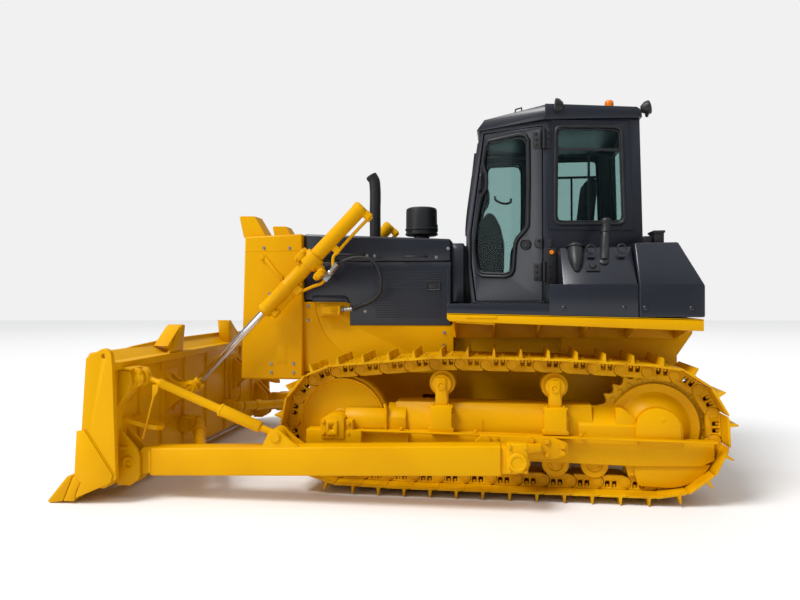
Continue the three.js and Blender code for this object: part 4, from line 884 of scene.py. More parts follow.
# Corner bracket of the brace: a wedge on the blade and a bolted clamp round the brace's end.
def braceSocket():
    y, (x, z) = arm["y"], dozer["braceEye"]
    wedge = plate("wedge", [(4.11, 1.004), (3.985, 0.992), (3.968, 0.9), (4.01, 0.82), (4.11, 0.69)], "y",
        y - 0.062, y + 0.1, 0.006)
    lid = plate("lid", [(4.1, 1.012), (4.1, 1.03), (3.965, 1.012), (3.965, 0.994)], "y", y - 0.07, y + 0.11,
        0.004)
    ears = [plate("clampEar", [(4.02, z - 0.09), (3.99, z - 0.1), (x - 0.02, z - 0.062), (x - 0.04, z),
        (x - 0.01, z + 0.062), (3.99, z + 0.07)], "y", y + low, y + low + 0.03, 0.008)
        for low in (-0.072, 0.042)]
    studs = bolts("studs", [(x - 0.01, y + 0.072, z + 0.034), (x + 0.022, y + 0.072, z - 0.05)], (0, 1, 0),
        0.012)
    cap = turned("cap", [(0, 0.012), (0.02, 0.012), (0.026, 0.006), (0.038, 0.006), (0.042, 0.0)],
        spot(x, y + 0.072, z - 0.006), (0, 1, 0), 24)
    return joined("braceSocket", [wedge, lid, studs, cap] + ears)


# Ears that take the lift cylinder's rod, swept up the back of the blade.
def liftEars():
    (x, z), y = dozer["liftEye"], dozer["liftY"]
    outline = [(4.105, 0.9), (4.058, 0.868), (4.01, 0.828), (3.96, 0.812), (3.905, 0.815)]
    outline += arc(x, z, 0.064, 62, 300, 14) + [(3.93, 0.664), (3.985, 0.64), (4.04, 0.59), (4.105, 0.5)]
    pieces = earPair(outline, y, 0.005)
    ring = [(0.0, 0.02), (0.013, 0.02), (0.017, 0.013), (0.03, 0.013), (0.034, 0.02), (0.045, 0.02),
        (0.05, 0.014), (0.052, 0.0)]
    pieces.append(turned("cap", ring, spot(x, y + arm["earGap"] + arm["ear"] - 0.004, z), (0, 1, 0), 28))
    pieces.append(roller("liftPin", 0.028, spot(x, y - 0.086, z), spot(x, y + 0.07, z), 20))
    web = plate("web", [(4.105, 0.92), (4.082, 0.92), (4.082, 0.44), (4.105, 0.44)], "y", y - 0.15, y + 0.15,
        0.004)
    return joined("liftEars", pieces + [web])


# Step bent from flat bar, and the seat of the diagonal strut's ball.
def bladeSteps():
    y = arm["y"]
    loop = [(4.095, y - 0.13), (3.9, y - 0.13), (3.812, y - 0.1), (3.78, y - 0.05), (3.812, y + 0.0),
        (3.9, y + 0.03), (4.095, y + 0.03), (4.095, y + 0.02), (3.9, y + 0.02), (3.817, y - 0.008),
        (3.79, y - 0.05), (3.817, y - 0.092), (3.9, y - 0.12), (4.095, y - 0.12)]
    step = plate("step", loop, "z", 0.588, 0.622, 0.0)
    tilted(step, math.radians(14), "Y", spot(4.095, y, 0.605))
    bx, by, bz = arm["ball"]
    seat = block("seat", (bx + 0.045, by - 0.082, bz - 0.068), (4.1, by + 0.082, bz + 0.068), 0.012)
    jaws = [block("jaw", (bx + 0.004, by + low, bz - 0.06), (bx + 0.06, by + low + 0.03, bz + 0.06), 0.01)
        for low in (-0.086, 0.056)]
    studs = bolts("studs", [(bx + 0.045, by + dy, bz + dz) for dy in (-0.062, 0.062)
        for dz in (-0.05, 0.05)], (-1, 0, 0), 0.011)
    return joined("bladeSteps", [step, seat, studs] + jaws)


board = moldboard()
dress(board, "machine_yellow", "blade", "blade")
board.name = "blade_board"
edges = cuttingEdges()
dress(edges, "machine_yellow", "blade", "cutting_edge")
edges.name = "blade_edges"
dressPairs("machine_yellow", "blade", (fin, "spill_fin"), (endPlate, "end_plate"), (pitchEars, "pitch_ears"),
    (braceSocket, "brace_socket"), (liftEars, "lift_ears"), (bladeSteps, "blade_step"))
print("blade and push arms done")

# Braces behind the blade's corners: the left one screws, the right one is the tilt cylinder.
brace = {
    "rear": (2.831, 0.506), "front": (3.927, 0.944), "lever": (3.802, 0.871), "knob": (3.915, 0.47),
}


braceLength = math.dist(brace["rear"], brace["front"])


def braceSpot(along, y, up=0.0):
    (x0, z0), (x1, z1) = brace["rear"], brace["front"]
    cosine, sine = (x1 - x0) / braceLength, (z1 - z0) / braceLength
    return spot(x0 + cosine * along - sine * up, y, z0 + sine * along + cosine * up)


braceWay = braceSpot(1, 0) - braceSpot(0, 0)


def eyeAt(along, y, name):
    ring = [(0.029, -0.034), (0.054, -0.034), (0.058, -0.028), (0.058, 0.028), (0.054, 0.034),
        (0.029, 0.034), (0.029, -0.034)]
    return turned(name, ring, braceSpot(along, y), (0, 1, 0), 24)


def braceTube():
    y = arm["y"]
    tube = turned("tube", [(0.0, 0.04), (0.026, 0.04), (0.026, 0.15), (0.04, 0.154), (0.044, 0.16),
        (0.046, 0.478), (0.05, 0.482), (0.05, 0.5), (0.046, 0.504), (0.0345, 0.504), (0.0345, 0.2),
        (0.0, 0.2)], braceSpot(0, y), braceWay, 32)
    return joined("braceTube", [tube, eyeAt(0, y, "rearEye")])


def braceScrew():
    y = arm["y"]
    rear = braceSpot(0, y)
    shaft = turned("shaft", [(0.0, 0.33), (0.033, 0.33), (0.033, 1.01), (0.036, 1.014), (0.036, 1.03),
        (0.03, 1.036), (0.021, 1.06), (0.021, 1.15), (0.0, 1.15)], rear, braceWay, 32)
    lx, lz = brace["lever"]
    kx, kz = brace["knob"]
    lug = plate("lug", [(lx + 0.03, lz + 0.01), (lx - 0.022, lz + 0.01), (lx - 0.01, lz - 0.05),
        (lx + 0.016, lz - 0.085), (lx + 0.034, lz - 0.08)], "y", y + 0.03, y + 0.042, 0.003)
    rodLine = [spot(lx + 0.022, y + 0.036, lz - 0.075), spot(kx, y + 0.036, kz)]
    lever = pipe("lever", rodLine, 0.008)
    knob = turned("knob", [(0, -0.015), (0.011, -0.011), (0.015, 0), (0.011, 0.011), (0, 0.015)],
        spot(kx, y + 0.036, kz), (0, 1, 0), 14, smooth=60)
    grease = bolts("grease", [(lx - 0.02, y, lz + 0.046)], (0, 0, 1), 0.008)
    return joined("braceScrew", [shaft, eyeAt(braceLength, y, "frontEye"), lug, lever, knob, grease])


def tiltBarrel():
    y = -arm["y"]
    rear = braceSpot(0, y)
    barrel = turned("barrel", [(0.0, 0.045), (0.032, 0.045), (0.036, 0.095), (0.066, 0.102), (0.07, 0.11),
        (0.07, 0.13), (0.064, 0.136), (0.064, 0.62), (0.072, 0.626), (0.072, 0.672), (0.066, 0.68),
        (0.034, 0.68), (0.034, 0.3), (0.0, 0.3)], rear, braceWay, 36)
    ports = [roller("port", 0.018, braceSpot(along, y, 0.06), braceSpot(along, y, 0.095), 16)
        for along in (0.16, 0.6)]
    line = pipe("line", [braceSpot(0.6, y, 0.092), braceSpot(0.54, y, 0.088), braceSpot(0.3, y, 0.084),
        braceSpot(0.2, y - 0.02, 0.088)], 0.01)
    glandBolts = []
    for i in range(8):
        turn = math.tau * i / 8
        glandBolts.append(roller("stud", 0.008, braceSpot(0.678, y + 0.052 * math.cos(turn),
            0.052 * math.sin(turn)), braceSpot(0.688, y + 0.052 * math.cos(turn), 0.052 * math.sin(turn)), 6,
            0.001))
    return joined("tiltBarrel", [barrel, line, eyeAt(0, y, "rearEye")] + ports + glandBolts)


def tiltRod():
    y = -arm["y"]
    return turned("shaft", [(0.0, 0.35), (0.03, 0.35), (0.03, 1.11), (0.0, 1.11)], braceSpot(0, y), braceWay,
        32)


dress(braceTube(), "machine_yellow", "left_brace_tube", "left_brace_tube").name = "brace_tube"
dress(braceScrew(), "machine_yellow", "left_brace_screw", "left_brace_screw").name = "brace_screw"
dress(tiltBarrel(), "machine_yellow", "tilt_cylinder", "tilt_cylinder").name = "tilt_barrel"
dress(tiltRod(), "chrome_rod", "tilt_rod", "tilt_rod").name = "tilt_shaft"
dress(eyeAt(braceLength, -arm["y"], "tilt_eye"), "machine_yellow", "tilt_rod").name = "tilt_eye"

# Lift cylinders, held at the middle by a trunnion on the radiator guard.
lift = {
    "pivot": (2.761, 1.87), "eye": (3.854, 0.761), "barrel": 0.064, "above": 0.64, "below": 0.628,
    "rod": 0.032, "caps": ((2.85, 1.905), (2.684, 1.748)),
}
liftWay = (spot(lift["eye"][0], 0, lift["eye"][1]) - spot(lift["pivot"][0], 0,
    lift["pivot"][1])).normalized()
liftAside = Vector((liftWay.z, 0, -liftWay.x))
liftLength = math.hypot(lift["eye"][0] - lift["pivot"][0], lift["eye"][1] - lift["pivot"][1])


# A point beside the lift cylinder: along it from the trunnion, out behind it, and sideways.
def liftSpot(along, behind=0.0, side=0.0):
    x, z = lift["pivot"]
    return spot(x + liftWay.x * along + liftWay.z * behind, liftY + side,
        z + liftWay.z * along - liftWay.x * behind)


def liftBarrel():
    r, above, below = lift["barrel"], lift["above"], lift["below"]
    profile = [(0, -above), (0.05, -above), (0.058, -above + 0.008), (r + 0.004, -above + 0.016),
        (r + 0.004, -above + 0.056), (r, -above + 0.06), (r, -0.062), (0.086, -0.058), (0.088, -0.052),
        (0.088, 0.052), (0.086, 0.058), (r, 0.062), (r, 0.3), (r + 0.003, 0.304), (r + 0.003, 0.316),
        (r, 0.32), (r, below - 0.07), (r + 0.004, below - 0.066), (r + 0.004, below - 0.018),
        (0.056, below - 0.006), (0.05, below), (lift["rod"] + 0.002, below), (lift["rod"] + 0.002, -0.6),
        (0, -0.6)]
    barrel = turned("barrel", profile, liftSpot(0), liftWay, 40)
    head = turned("head", [(0, 0), (0.03, 0), (0.036, 0.006), (0.036, 0.062), (0.03, 0.068), (0, 0.068)],
        liftSpot(-above + 0.03, 0.052), liftSpot(0, 1) - liftSpot(0, 0), 20)
    headBlock = turned("headBlock", [(0, -0.03), (0.024, -0.03), (0.028, -0.024), (0.028, 0.024),
        (0.024, 0.03), (0, 0.03)], liftSpot(-above + 0.036, 0.108), liftWay, 6)
    yokes = [roller("yoke", 0.038, liftSpot(0, side * 0.06), liftSpot(0, side * 0.125), 24)
        for side in (-1, 1)]
    return joined("liftBarrel", [barrel, head, headBlock] + yokes)


# Steel lines behind the barrel: from its head to the trunnion, and on to the gland.
def liftLines():
    upper = [liftSpot(-0.6, 0.11), liftSpot(-0.56, 0.108), liftSpot(-0.25, 0.112),
        liftSpot(-0.205, 0.12, 0.01), liftSpot(-0.165, 0.118, 0.02), liftSpot(-0.105, 0.165, 0.02),
        liftSpot(-0.08, 0.19, 0.02), liftSpot(-0.06, 0.19, 0.02)]
    lower = [liftSpot(0.035, 0.195, 0.0), liftSpot(0.075, 0.2, 0.0), liftSpot(0.15, 0.165, 0.0),
        liftSpot(0.235, 0.128, 0.0), liftSpot(0.3, 0.098, 0.0), liftSpot(0.52, 0.092, 0.0)]
    clips = [blockOnLift("clip", -0.215, 0.06, 0.125, 0.03), blockOnLift("clip", 0.27, 0.058, 0.12, 0.04)]
    port = turned("port", [(0, 0), (0.03, 0), (0.034, 0.006), (0.034, 0.046), (0.028, 0.052), (0, 0.052)],
        liftSpot(0.56, 0.058), liftSpot(0, 1) - liftSpot(0, 0), 8)
    portEnd = roller("portEnd", 0.022, liftSpot(0.515, 0.092), liftSpot(0.59, 0.092), 16)
    return joined("liftLines", [pipe("upper", upper, 0.014), pipe("lower", lower, 0.014), port, portEnd]
        + clips)


# A small block lying along the cylinder, behind the barrel.
def blockOnLift(name, along, inner, outer, half):
    a, b = liftSpot(along - half, inner, -0.022), liftSpot(along + half, inner, -0.022)
    c, d = liftSpot(along + half, outer, -0.022), liftSpot(along - half, outer, -0.022)
    return slab(name, [a, b, c, d], (0, 0.044, 0), 0.005)


# Couplings side by side where the hose meets the steel lines.
def liftCouplings():
    manifold = blockOnLift("manifold", 0.01, 0.165, 0.225, 0.034)
    tubes = [roller("ferrule", 0.02, liftSpot(-0.135, 0.182, side), liftSpot(-0.02, 0.195, side), 18, 0.003)
        for side in (-0.022, 0.022)]
    nuts = [turned("nut", [(0, 0), (0.025, 0), (0.025, 0.024), (0, 0.024)], liftSpot(-0.048, 0.192, side),
        liftWay, 6, 0.002) for side in (-0.022, 0.022)]
    return joined("liftCouplings", [manifold] + tubes + nuts)


def liftShaft():
    length, rod = liftLength, lift["rod"]
    return turned("shaft", [(0, 0.25), (rod, 0.25), (rod, length - 0.07), (0.026, length - 0.062),
        (0, length - 0.062)], liftSpot(0), liftWay, 36)


def liftEye():
    length = liftLength
    body = turned("eye", [(0.029, -0.034), (0.052, -0.034), (0.057, -0.028), (0.057, 0.028), (0.052, 0.034),
        (0.029, 0.034), (0.029, -0.034)], liftSpot(length), (0, 1, 0), 28)
    shank = turned("shank", [(0, 0), (0.04, 0), (0.044, 0.006), (0.044, 0.03), (0.036, 0.052), (0, 0.052)],
        liftSpot(length - 0.088), liftWay, 24)
    lug = blockOnLift("lug", length - 0.06, 0.02, 0.066, 0.026)
    return joined("liftEye", [body, shank, lug])


dressPairs("machine_yellow", "{}_lift_cylinder", (liftBarrel, "lift_barrel", "lift_cylinder"),
    (liftLines, "lift_lines"))
dressPairs("bare_steel", "{}_lift_cylinder", (liftCouplings, "lift_couplings"))
dressPairs("chrome_rod", "{}_lift_rod", (liftShaft, "lift_shaft", "lift_rod"))
dressPairs("machine_yellow", "{}_lift_rod", (liftEye, "lift_eye"))


# Split caps that hold the trunnion on the guard's bracket.
def trunnionCaps():
    pieces = []
    for x, z in lift["caps"]:
        middle = spot(x, 0, z)
        corners = [middle + liftWay * along + liftAside * across
            for along, across in ((-0.06, -0.018), (-0.03, -0.03), (0.03, -0.03), (0.06, -0.018),
            (0.06, 0.018), (0.03, 0.03), (-0.03, 0.03), (-0.06, 0.018))]
        pieces.append(slab("cap", [corner + Vector((0, 0.745, 0)) for corner in corners], (0, 0.072, 0),
            0.01, 3))
        leg = plate("leg", [(x - 0.03, z - 0.03), (x + 0.03, z - 0.03), (x + 0.03, z + 0.03),
            (x - 0.03, z + 0.03)], "y", 0.6, 0.75, 0.012)
        pieces.append(leg)
        for along in (-0.045, 0.045):
            head = middle + liftWay * along + Vector((0, 0.812, 0))
            pieces.append(roller("capBolt", 0.012, head, head + Vector((0, 0.02, 0)), 6, 0.002))
    return joined("trunnionCaps", pieces)


dressPairs("machine_yellow", "machine", (trunnionCaps, "trunnion_caps"))

# Hose from its block on the frame round to the trunnion, with its end fittings.
hoseRoute = {
    "block": (2.545, 0.605, 1.441),
    "points": [(0.004, 0.0, 0.0), (0.07, 0.002, 0.002), (0.181, 0.042, 0.034), (0.304, 0.082, 0.085),
        (0.37, 0.105, 0.149), (0.383, 0.112, 0.219), (0.373, 0.116, 0.319), (0.306, 0.118, 0.421),
        (0.201, 0.12, 0.45), (0.118, 0.126, 0.44)],
    "radius": 0.015,
}


def hosePoint(back, out, up):
    x, y, z = hoseRoute["block"]
    return spot(x - back, y + out, z + up)


def liftHose():
    places = [hosePoint(*p) for p in hoseRoute["points"]] + [liftSpot(-0.12, 0.184, -0.02),
        liftSpot(-0.06, 0.192, -0.022)]
    return pipe("hose", places, hoseRoute["radius"], sides=4, steps=10)


def hoseFitting():
    sleeve = roller("sleeve", 0.019, hosePoint(0.03, 0.001, 0.001), hosePoint(0.11, 0.01, 0.006), 20, 0.003)
    nut = turned("nut", [(0, 0), (0.026, 0), (0.026, 0.024), (0, 0.024)], hosePoint(0.002, 0, 0), (-1, 0, 0),
        6, 0.002)
    return joined("hoseFitting", [sleeve, nut])


def hoseBlock():
    body = block("body", (2.545, 0.56, 1.402), (2.712, 0.645, 1.472), 0.006)
    flange = block("flange", (2.54, 0.56, 1.398), (2.562, 0.65, 1.478), 0.004)
    return joined("hoseBlock", [body, flange])


def hangHose(hose, side):
    paint(hose, "hose_rubber")
    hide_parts(f"{side}_lift_hose")
    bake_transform(hose)


leftHose = liftHose()
leftHose.name = "left_hose"
rightHose = otherSide(leftHose, "right_hose")
hangHose(leftHose, "left")
hangHose(rightHose, "right")
dressPairs("bare_steel", "machine", (hoseFitting, "hose_fitting"))
dressPairs("machine_yellow", "machine", (hoseBlock, "hose_block"))
print("braces, lift cylinders and hoses done")

# Radiator guard with its lamp cowls, latch strap and bolts.
guard = {
    "half": 0.6, "rear": 2.893, "frontLow": 3.47, "frontHigh": 3.425, "low": 0.82, "high": 2.1,
    "grilleHalf": 0.535, "grilleLow": 0.91, "grilleHigh": 2.02, "slats": 16, "lampY": 0.44,
    "lampHalf": 0.095,
}


def guardFront(z):
    share = (z - guard["low"]) / (guard["high"] - guard["low"])
    return guard["frontLow"] + (guard["frontHigh"] - guard["frontLow"]) * share


def radiatorGuard():
    outline = [(guard["rear"], guard["low"]), (guard["frontLow"], guard["low"]),
        (guard["frontHigh"], guard["high"]), (guard["rear"], 2.116)]
    shell = plate("shell", outline, "y", -guard["half"], guard["half"], 0.0)
    opening = block("opening", (3.33, -guard["grilleHalf"], guard["grilleLow"]),
        (3.6, guard["grilleHalf"], guard["grilleHigh"]), 0.03)
    carve(shell, opening)
    softenEdges(shell, 0.016, 3)
    return shell


def lampCowl():
    y, half = guard["lampY"], guard["lampHalf"]
    cowl = plate("cowl", [(3.243, 2.1), (3.42, 2.08), (3.462, 2.1), (3.502, 2.288), (3.48, 2.294),
        (3.357, 2.29)], "y", y - half, y + half, 0.0)
    hollow = block("hollow", (3.4, y - half + 0.012, 2.125), (3.56, y + half - 0.012, 2.276), 0.01)
    carve(cowl, hollow)
    softenEdges(cowl, 0.004, 1)
    bowl = turned("bowl", [(0, -0.03), (0.04, -0.022), (0.064, 0.01), (0.066, 0.022), (0.06, 0.022),
        (0.056, 0.014), (0, 0.006)], spot(3.452, y, 2.2), (1, 0, 0), 28)
    return joined("lampCowl", [cowl, bowl])


def lampLens():
    return turned("lampLens", [(0, 0.012), (0.04, 0.008), (0.055, 0.0), (0.055, -0.004), (0, -0.002)],
        spot(3.466, guard["lampY"], 2.2), (1, 0, 0), 28)


def guardTrim():
    y = guard["half"]
    strap = plate("strap", [(3.27, 1.918), (3.252, 1.934), (3.232, 1.926), (3.11, 1.772), (3.072, 1.744),
        (3.064, 1.706), (3.094, 1.706), (3.122, 1.744), (3.25, 1.896)], "y", y - 0.002, y + 0.016, 0.004)
    strapHead = roller("strapHead", 0.022, spot(3.258, y, 1.912), spot(3.258, y + 0.024, 1.912), 18)
    seam = block("seam", (guard["rear"] + 0.01, y - 0.002, 1.966), (3.424, y + 0.002, 1.971), 0.001)
    blank = block("blank", (3.039, y - 0.001, 0.958), (3.126, y + 0.0015, 1.123), 0.0005)
    return joined("guardTrim", [strap, strapHead, seam, blank])


def guardBolts():
    y = guard["half"]
    places = [(3.246, y, 1.995), (3.009, y, 1.991), (3.196, y, 1.582), (3.185, y, 0.961), (2.979, y, 0.963),
        (3.185, y, 0.881), (2.979, y, 0.883), (2.851, 0.556, 1.475), (2.856, 0.556, 1.346),
        (1.637, 0.551, 1.24), (1.64, 0.551, 1.13)]
    return bolts("guardBolts", places, (0, 1, 0), 0.01)


# Slatted screen inside the guard's front.
def radiatorScreen():
    pieces = []
    step = (guard["grilleHigh"] - guard["grilleLow"]) / guard["slats"]
    model = plate("slat", [(0, 0), (0.04, -0.03), (0.044, -0.026), (0.006, 0.008)], "y",
        -guard["grilleHalf"], guard["grilleHalf"], 0.001, 1)
    for i in range(guard["slats"]):
        z = guard["grilleLow"] + step * (i + 0.6)
        pieces.append(copyOf(model, "slat", Matrix.Translation((guardFront(z) - 0.085, 0, z))))
    bpy.data.objects.remove(model)
    for y in (-0.27, 0.0, 0.27):
        pieces.append(plate("post", [(guardFront(0.9) - 0.034, 0.9), (guardFront(2.03) - 0.034, 2.03),
            (guardFront(2.03) - 0.052, 2.03), (guardFront(0.9) - 0.052, 0.9)], "y", y - 0.012, y + 0.012,
            0.002))
    return joined("radiatorScreen", pieces)


# Side plate that sweeps from the guard down along the hull.
def hullWing():
    outline = [(2.905, 0.93), (2.905, 1.535), (2.796, 1.528), (2.778, 1.43), (2.752, 1.333), (2.715, 1.25),
        (2.662, 1.174), (2.58, 1.085), (2.45, 1.0), (2.3, 0.95)]
    wing = plate("wing", outline, "y", 0.548, 0.556, 0.002)
    shelf = plate("shelf", [(2.9, 1.5), (2.48, 1.5), (2.48, 1.506), (2.9, 1.512)], "y", 0.48, 0.558, 0.002)
    pad = block("pad", (2.535, 0.549, 1.385), (2.74, 0.562, 1.49), 0.004)
    return joined("hullWing", [wing, shelf, pad])


dress(radiatorGuard(), "machine_yellow", "machine", "radiator_guard").name = "guard_shell"
dressPairs("machine_yellow", "machine", (lampCowl, "lamp_cowl"))
dressPairs("lamp_glass", "machine", (lampLens, "cowl_lens"))
dressPairs("machine_yellow", "machine", (guardTrim, "guard_trim"))
dressPairs("bare_steel", "machine", (guardBolts, "guard_bolts"))
dress(radiatorScreen(), "slate_paint", "machine", "grille").name = "radiator_screen"
dressPairs("machine_yellow", "machine", (hullWing, "hull_wing"))
dress(softened("main_frame", "hull_body", 0.005), "machine_yellow", "machine", "main_frame")
dress(softened("equalizer_bar", "cross_bar", 0.012, 3), "machine_yellow", "machine", "equalizer_bar")

# Hood, side panels with louvres, handles and latch, exhaust and air cleaner.
bonnet = {
    "half": 0.55, "rear": 1.578, "cowlRear": 1.47, "seamFront": 1.869, "seamRear": 1.851, "louvres": 21,
    "louvreLow": 1.372, "louvrePitch": 0.0195, "louvreFrom": 1.655, "louvreTo": 2.235, "face": 0.556,
}


def hoodTop():
    outline = [(bonnet["rear"], bonnet["seamRear"] + 0.002),
        (guard["rear"] - 0.003, bonnet["seamFront"] + 0.002), (guard["rear"] - 0.003, 2.118),
        (bonnet["rear"], 2.052)]
    top = plate("top", outline, "y", -bonnet["half"], bonnet["half"], 0.02, 3)
    cowl = plate("cowl", [(-0.5, 1.5), (0.5, 1.5), (0.5, 1.96), (0.46, 2.02), (-0.46, 2.02), (-0.5, 1.96)],
        "x", bonnet["cowlRear"], bonnet["rear"] + 0.002, 0.01)
    cover = plate("cover", [(1.7, -0.24), (2.6, -0.24), (2.62, -0.22), (2.62, 0.22), (2.6, 0.24),
        (1.7, 0.24), (1.68, 0.22), (1.68, -0.22)], "z", 2.048, 2.052, 0.002)
    tilted(cover, math.radians(-2.88), "Y", spot(1.578, 0, 2.052))
    return joined("hoodTop", [top, cowl, cover])


def sidePanel():
    face = bonnet["face"]
    body = plate("body", [(0.5, 1.302), (face, 1.302), (face, 1.796), (0.541, 1.866), (0.5, 1.866)], "x",
        bonnet["rear"], guard["rear"] - 0.003, 0.0)
    slope = plate("slope", [(1.5, 1.851), (2.95, 1.872), (2.95, 1.95), (1.5, 1.95)], "y", 0.4, 0.7, 0.0)
    step = block("step", (2.472, 0.4, 1.2), (2.98, 0.7, 1.508), 0.012)
    carve(body, slope, step)
    softenEdges(body, 0.003, 2)
    lip = plate("lip", [(2.812, 1.519), (2.812, 1.566), (2.532, 1.563), (2.5, 1.548), (2.476, 1.5),
        (2.49, 1.498), (2.512, 1.519)], "y", face - 0.002, face + 0.016, 0.004)
    hinge = block("hinge", (2.252, face - 0.002, 1.455), (2.26, face + 0.003, 1.852), 0.001)
    rearEdge = block("rearEdge", (bonnet["rear"] + 0.004, face - 0.002, 1.32),
        (bonnet["rear"] + 0.03, face + 0.004, 1.79), 0.002)
    return joined("sidePanel", [body, lip, hinge, rearEdge])


def louvres():
    face = bonnet["face"]
    model = plate("louvre", [(face - 0.002, 0.0), (face + 0.002, 0.001), (face + 0.0024, 0.005),
        (face - 0.002, 0.014)], "x", bonnet["louvreFrom"], bonnet["louvreTo"], 0.0008, 1)
    made = [copyOf(model, "louvre", Matrix.Translation((0, 0,
        bonnet["louvreLow"] + i * bonnet["louvrePitch"]))) for i in range(bonnet["louvres"])]
    bpy.data.objects.remove(model)
    return joined("louvres", made)


# A handle standing proud of the hood's side between two points.
def sideHandle(x0, x1, z, y, proud=0.04):
    places = [spot(x0, y - 0.006, z), spot(x0, y + proud - 0.012, z),
        spot(x0 - 0.012 if x0 > x1 else x0 + 0.012, y + proud, z),
        spot(x1 + 0.012 if x0 > x1 else x1 - 0.012, y + proud, z), spot(x1, y + proud - 0.012, z),
        spot(x1, y - 0.006, z)]
    return pipe("handle", places, 0.0085, smooth=False)


def hoodTrim():
    y = bonnet["half"]
    frameRing = block("ring", (1.67, bonnet["face"] - 0.002, 1.606), (1.792, bonnet["face"] + 0.009, 1.688),
        0.003)
    hollow = block("hollow", (1.68, bonnet["face"] + 0.001, 1.616), (1.782, bonnet["face"] + 0.05, 1.678),
        0.002)
    carve(frameRing, hollow)
    paddle = block("paddle", (1.692, bonnet["face"], 1.622), (1.77, bonnet["face"] + 0.005, 1.655), 0.002)
    return joined("hoodTrim", [sideHandle(2.56, 2.33, 1.926, y), sideHandle(1.985, 1.79, 1.901, y),
        frameRing, paddle])


def hoodBolts():
    y, face = bonnet["half"], bonnet["face"]
    places = [(2.318, y, 1.916), (2.249, y, 1.912), (1.702, y, 1.893), (1.6, y, 1.968), (2.334, face, 1.425),
        (1.596, face, 1.367)]
    return bolts("hoodBolts", places, (0, 1, 0), 0.01)


def exhaustStack():
    stack = pipe("stack", [spot(2.345, 0, 2.085), spot(2.345, 0, 2.35), spot(2.345, 0, 2.62),
        spot(2.352, 0, 2.672), spot(2.378, 0, 2.716)], 0.054, sides=6, steps=8)
    collar = turned("collar", [(0.05, 0.0), (0.084, 0.0), (0.084, 0.008), (0.064, 0.012), (0.064, 0.04),
        (0.05, 0.044)], spot(2.345, 0, 2.088), (0, 0, 1), 32)
    mouth = turned("mouth", [(0.0, -0.012), (0.046, -0.012), (0.048, 0.006), (0.055, 0.006), (0.056, -0.02)],
        spot(2.378, 0, 2.716), (0.51, 0, 0.86), 32)
    return joined("exhaustStack", [stack, collar, mouth])


def airCleaner():
    profile = [(0, 2.07), (0.075, 2.07), (0.075, 2.126), (0.138, 2.13), (0.154, 2.138), (0.156, 2.15),
        (0.149, 2.156), (0.149, 2.178), (0.157, 2.184), (0.157, 2.198), (0.149, 2.204), (0.147, 2.37),
        (0.141, 2.388), (0.122, 2.397), (0.1, 2.392), (0, 2.392)]
    body = turned("body", profile, spot(1.894, 0, 0), (0, 0, 1), 48, smooth=32)
    clips = [block("clip", (1.894 + 0.146 * math.cos(t) - 0.012, 0.146 * math.sin(t) - 0.012, 2.165),
        (1.894 + 0.146 * math.cos(t) + 0.012, 0.146 * math.sin(t) + 0.012, 2.235), 0.004)
        for t in (0.9, 3.0, 5.1)]
    nut = bolts("nut", [(1.894, 0, 2.39)], (0, 0, 1), 0.012)
    return joined("airCleaner", [body, nut] + clips)


dress(hoodTop(), "slate_paint", "machine", "hood").name = "hood_top"
dressPairs("slate_paint", "machine", (sidePanel, "side_panel", "hood_panel"), (louvres, "panel_louvres"))
dressPairs("black_plastic", "machine", (hoodTrim, "hood_trim"))
dressPairs("bare_steel", "machine", (hoodBolts, "hood_bolts"))
dress(exhaustStack(), "exhaust_black", "machine", "exhaust_pipe").name = "exhaust_stack"
dress(airCleaner(), "black_plastic", "machine", "pre_cleaner").name = "air_cleaner"
print("guard and hood done")

# Fenders, deck, tank and the consoles beside the cab.
deck = {
    "outer": 1.195, "front": 1.565, "rear": -0.3, "topFront": 1.425, "topRear": 1.378, "stripeFront": 0.062,
    "stripeRear": 0.087, "floor": 1.495, "boxFront": 0.797, "shoulder": 1.64, "consoleTop": 1.93,
    "consoleIn": 0.735, "consoleFront": 0.695, "tankFront": 0.15, "tankRear": -0.31, "tankTop": 1.955,
    "coverX": -0.27,
}


def fenderTop(x):
    share = (x - deck["rear"]) / (deck["front"] - deck["rear"])
    return deck["topRear"] + (deck["topFront"] - deck["topRear"]) * share


def fenderFoot(x):
    share = (x - deck["rear"]) / (deck["front"] - deck["rear"])
    return fenderTop(x) - deck["stripeRear"] - (deck["stripeFront"] - deck["stripeRear"]) * share


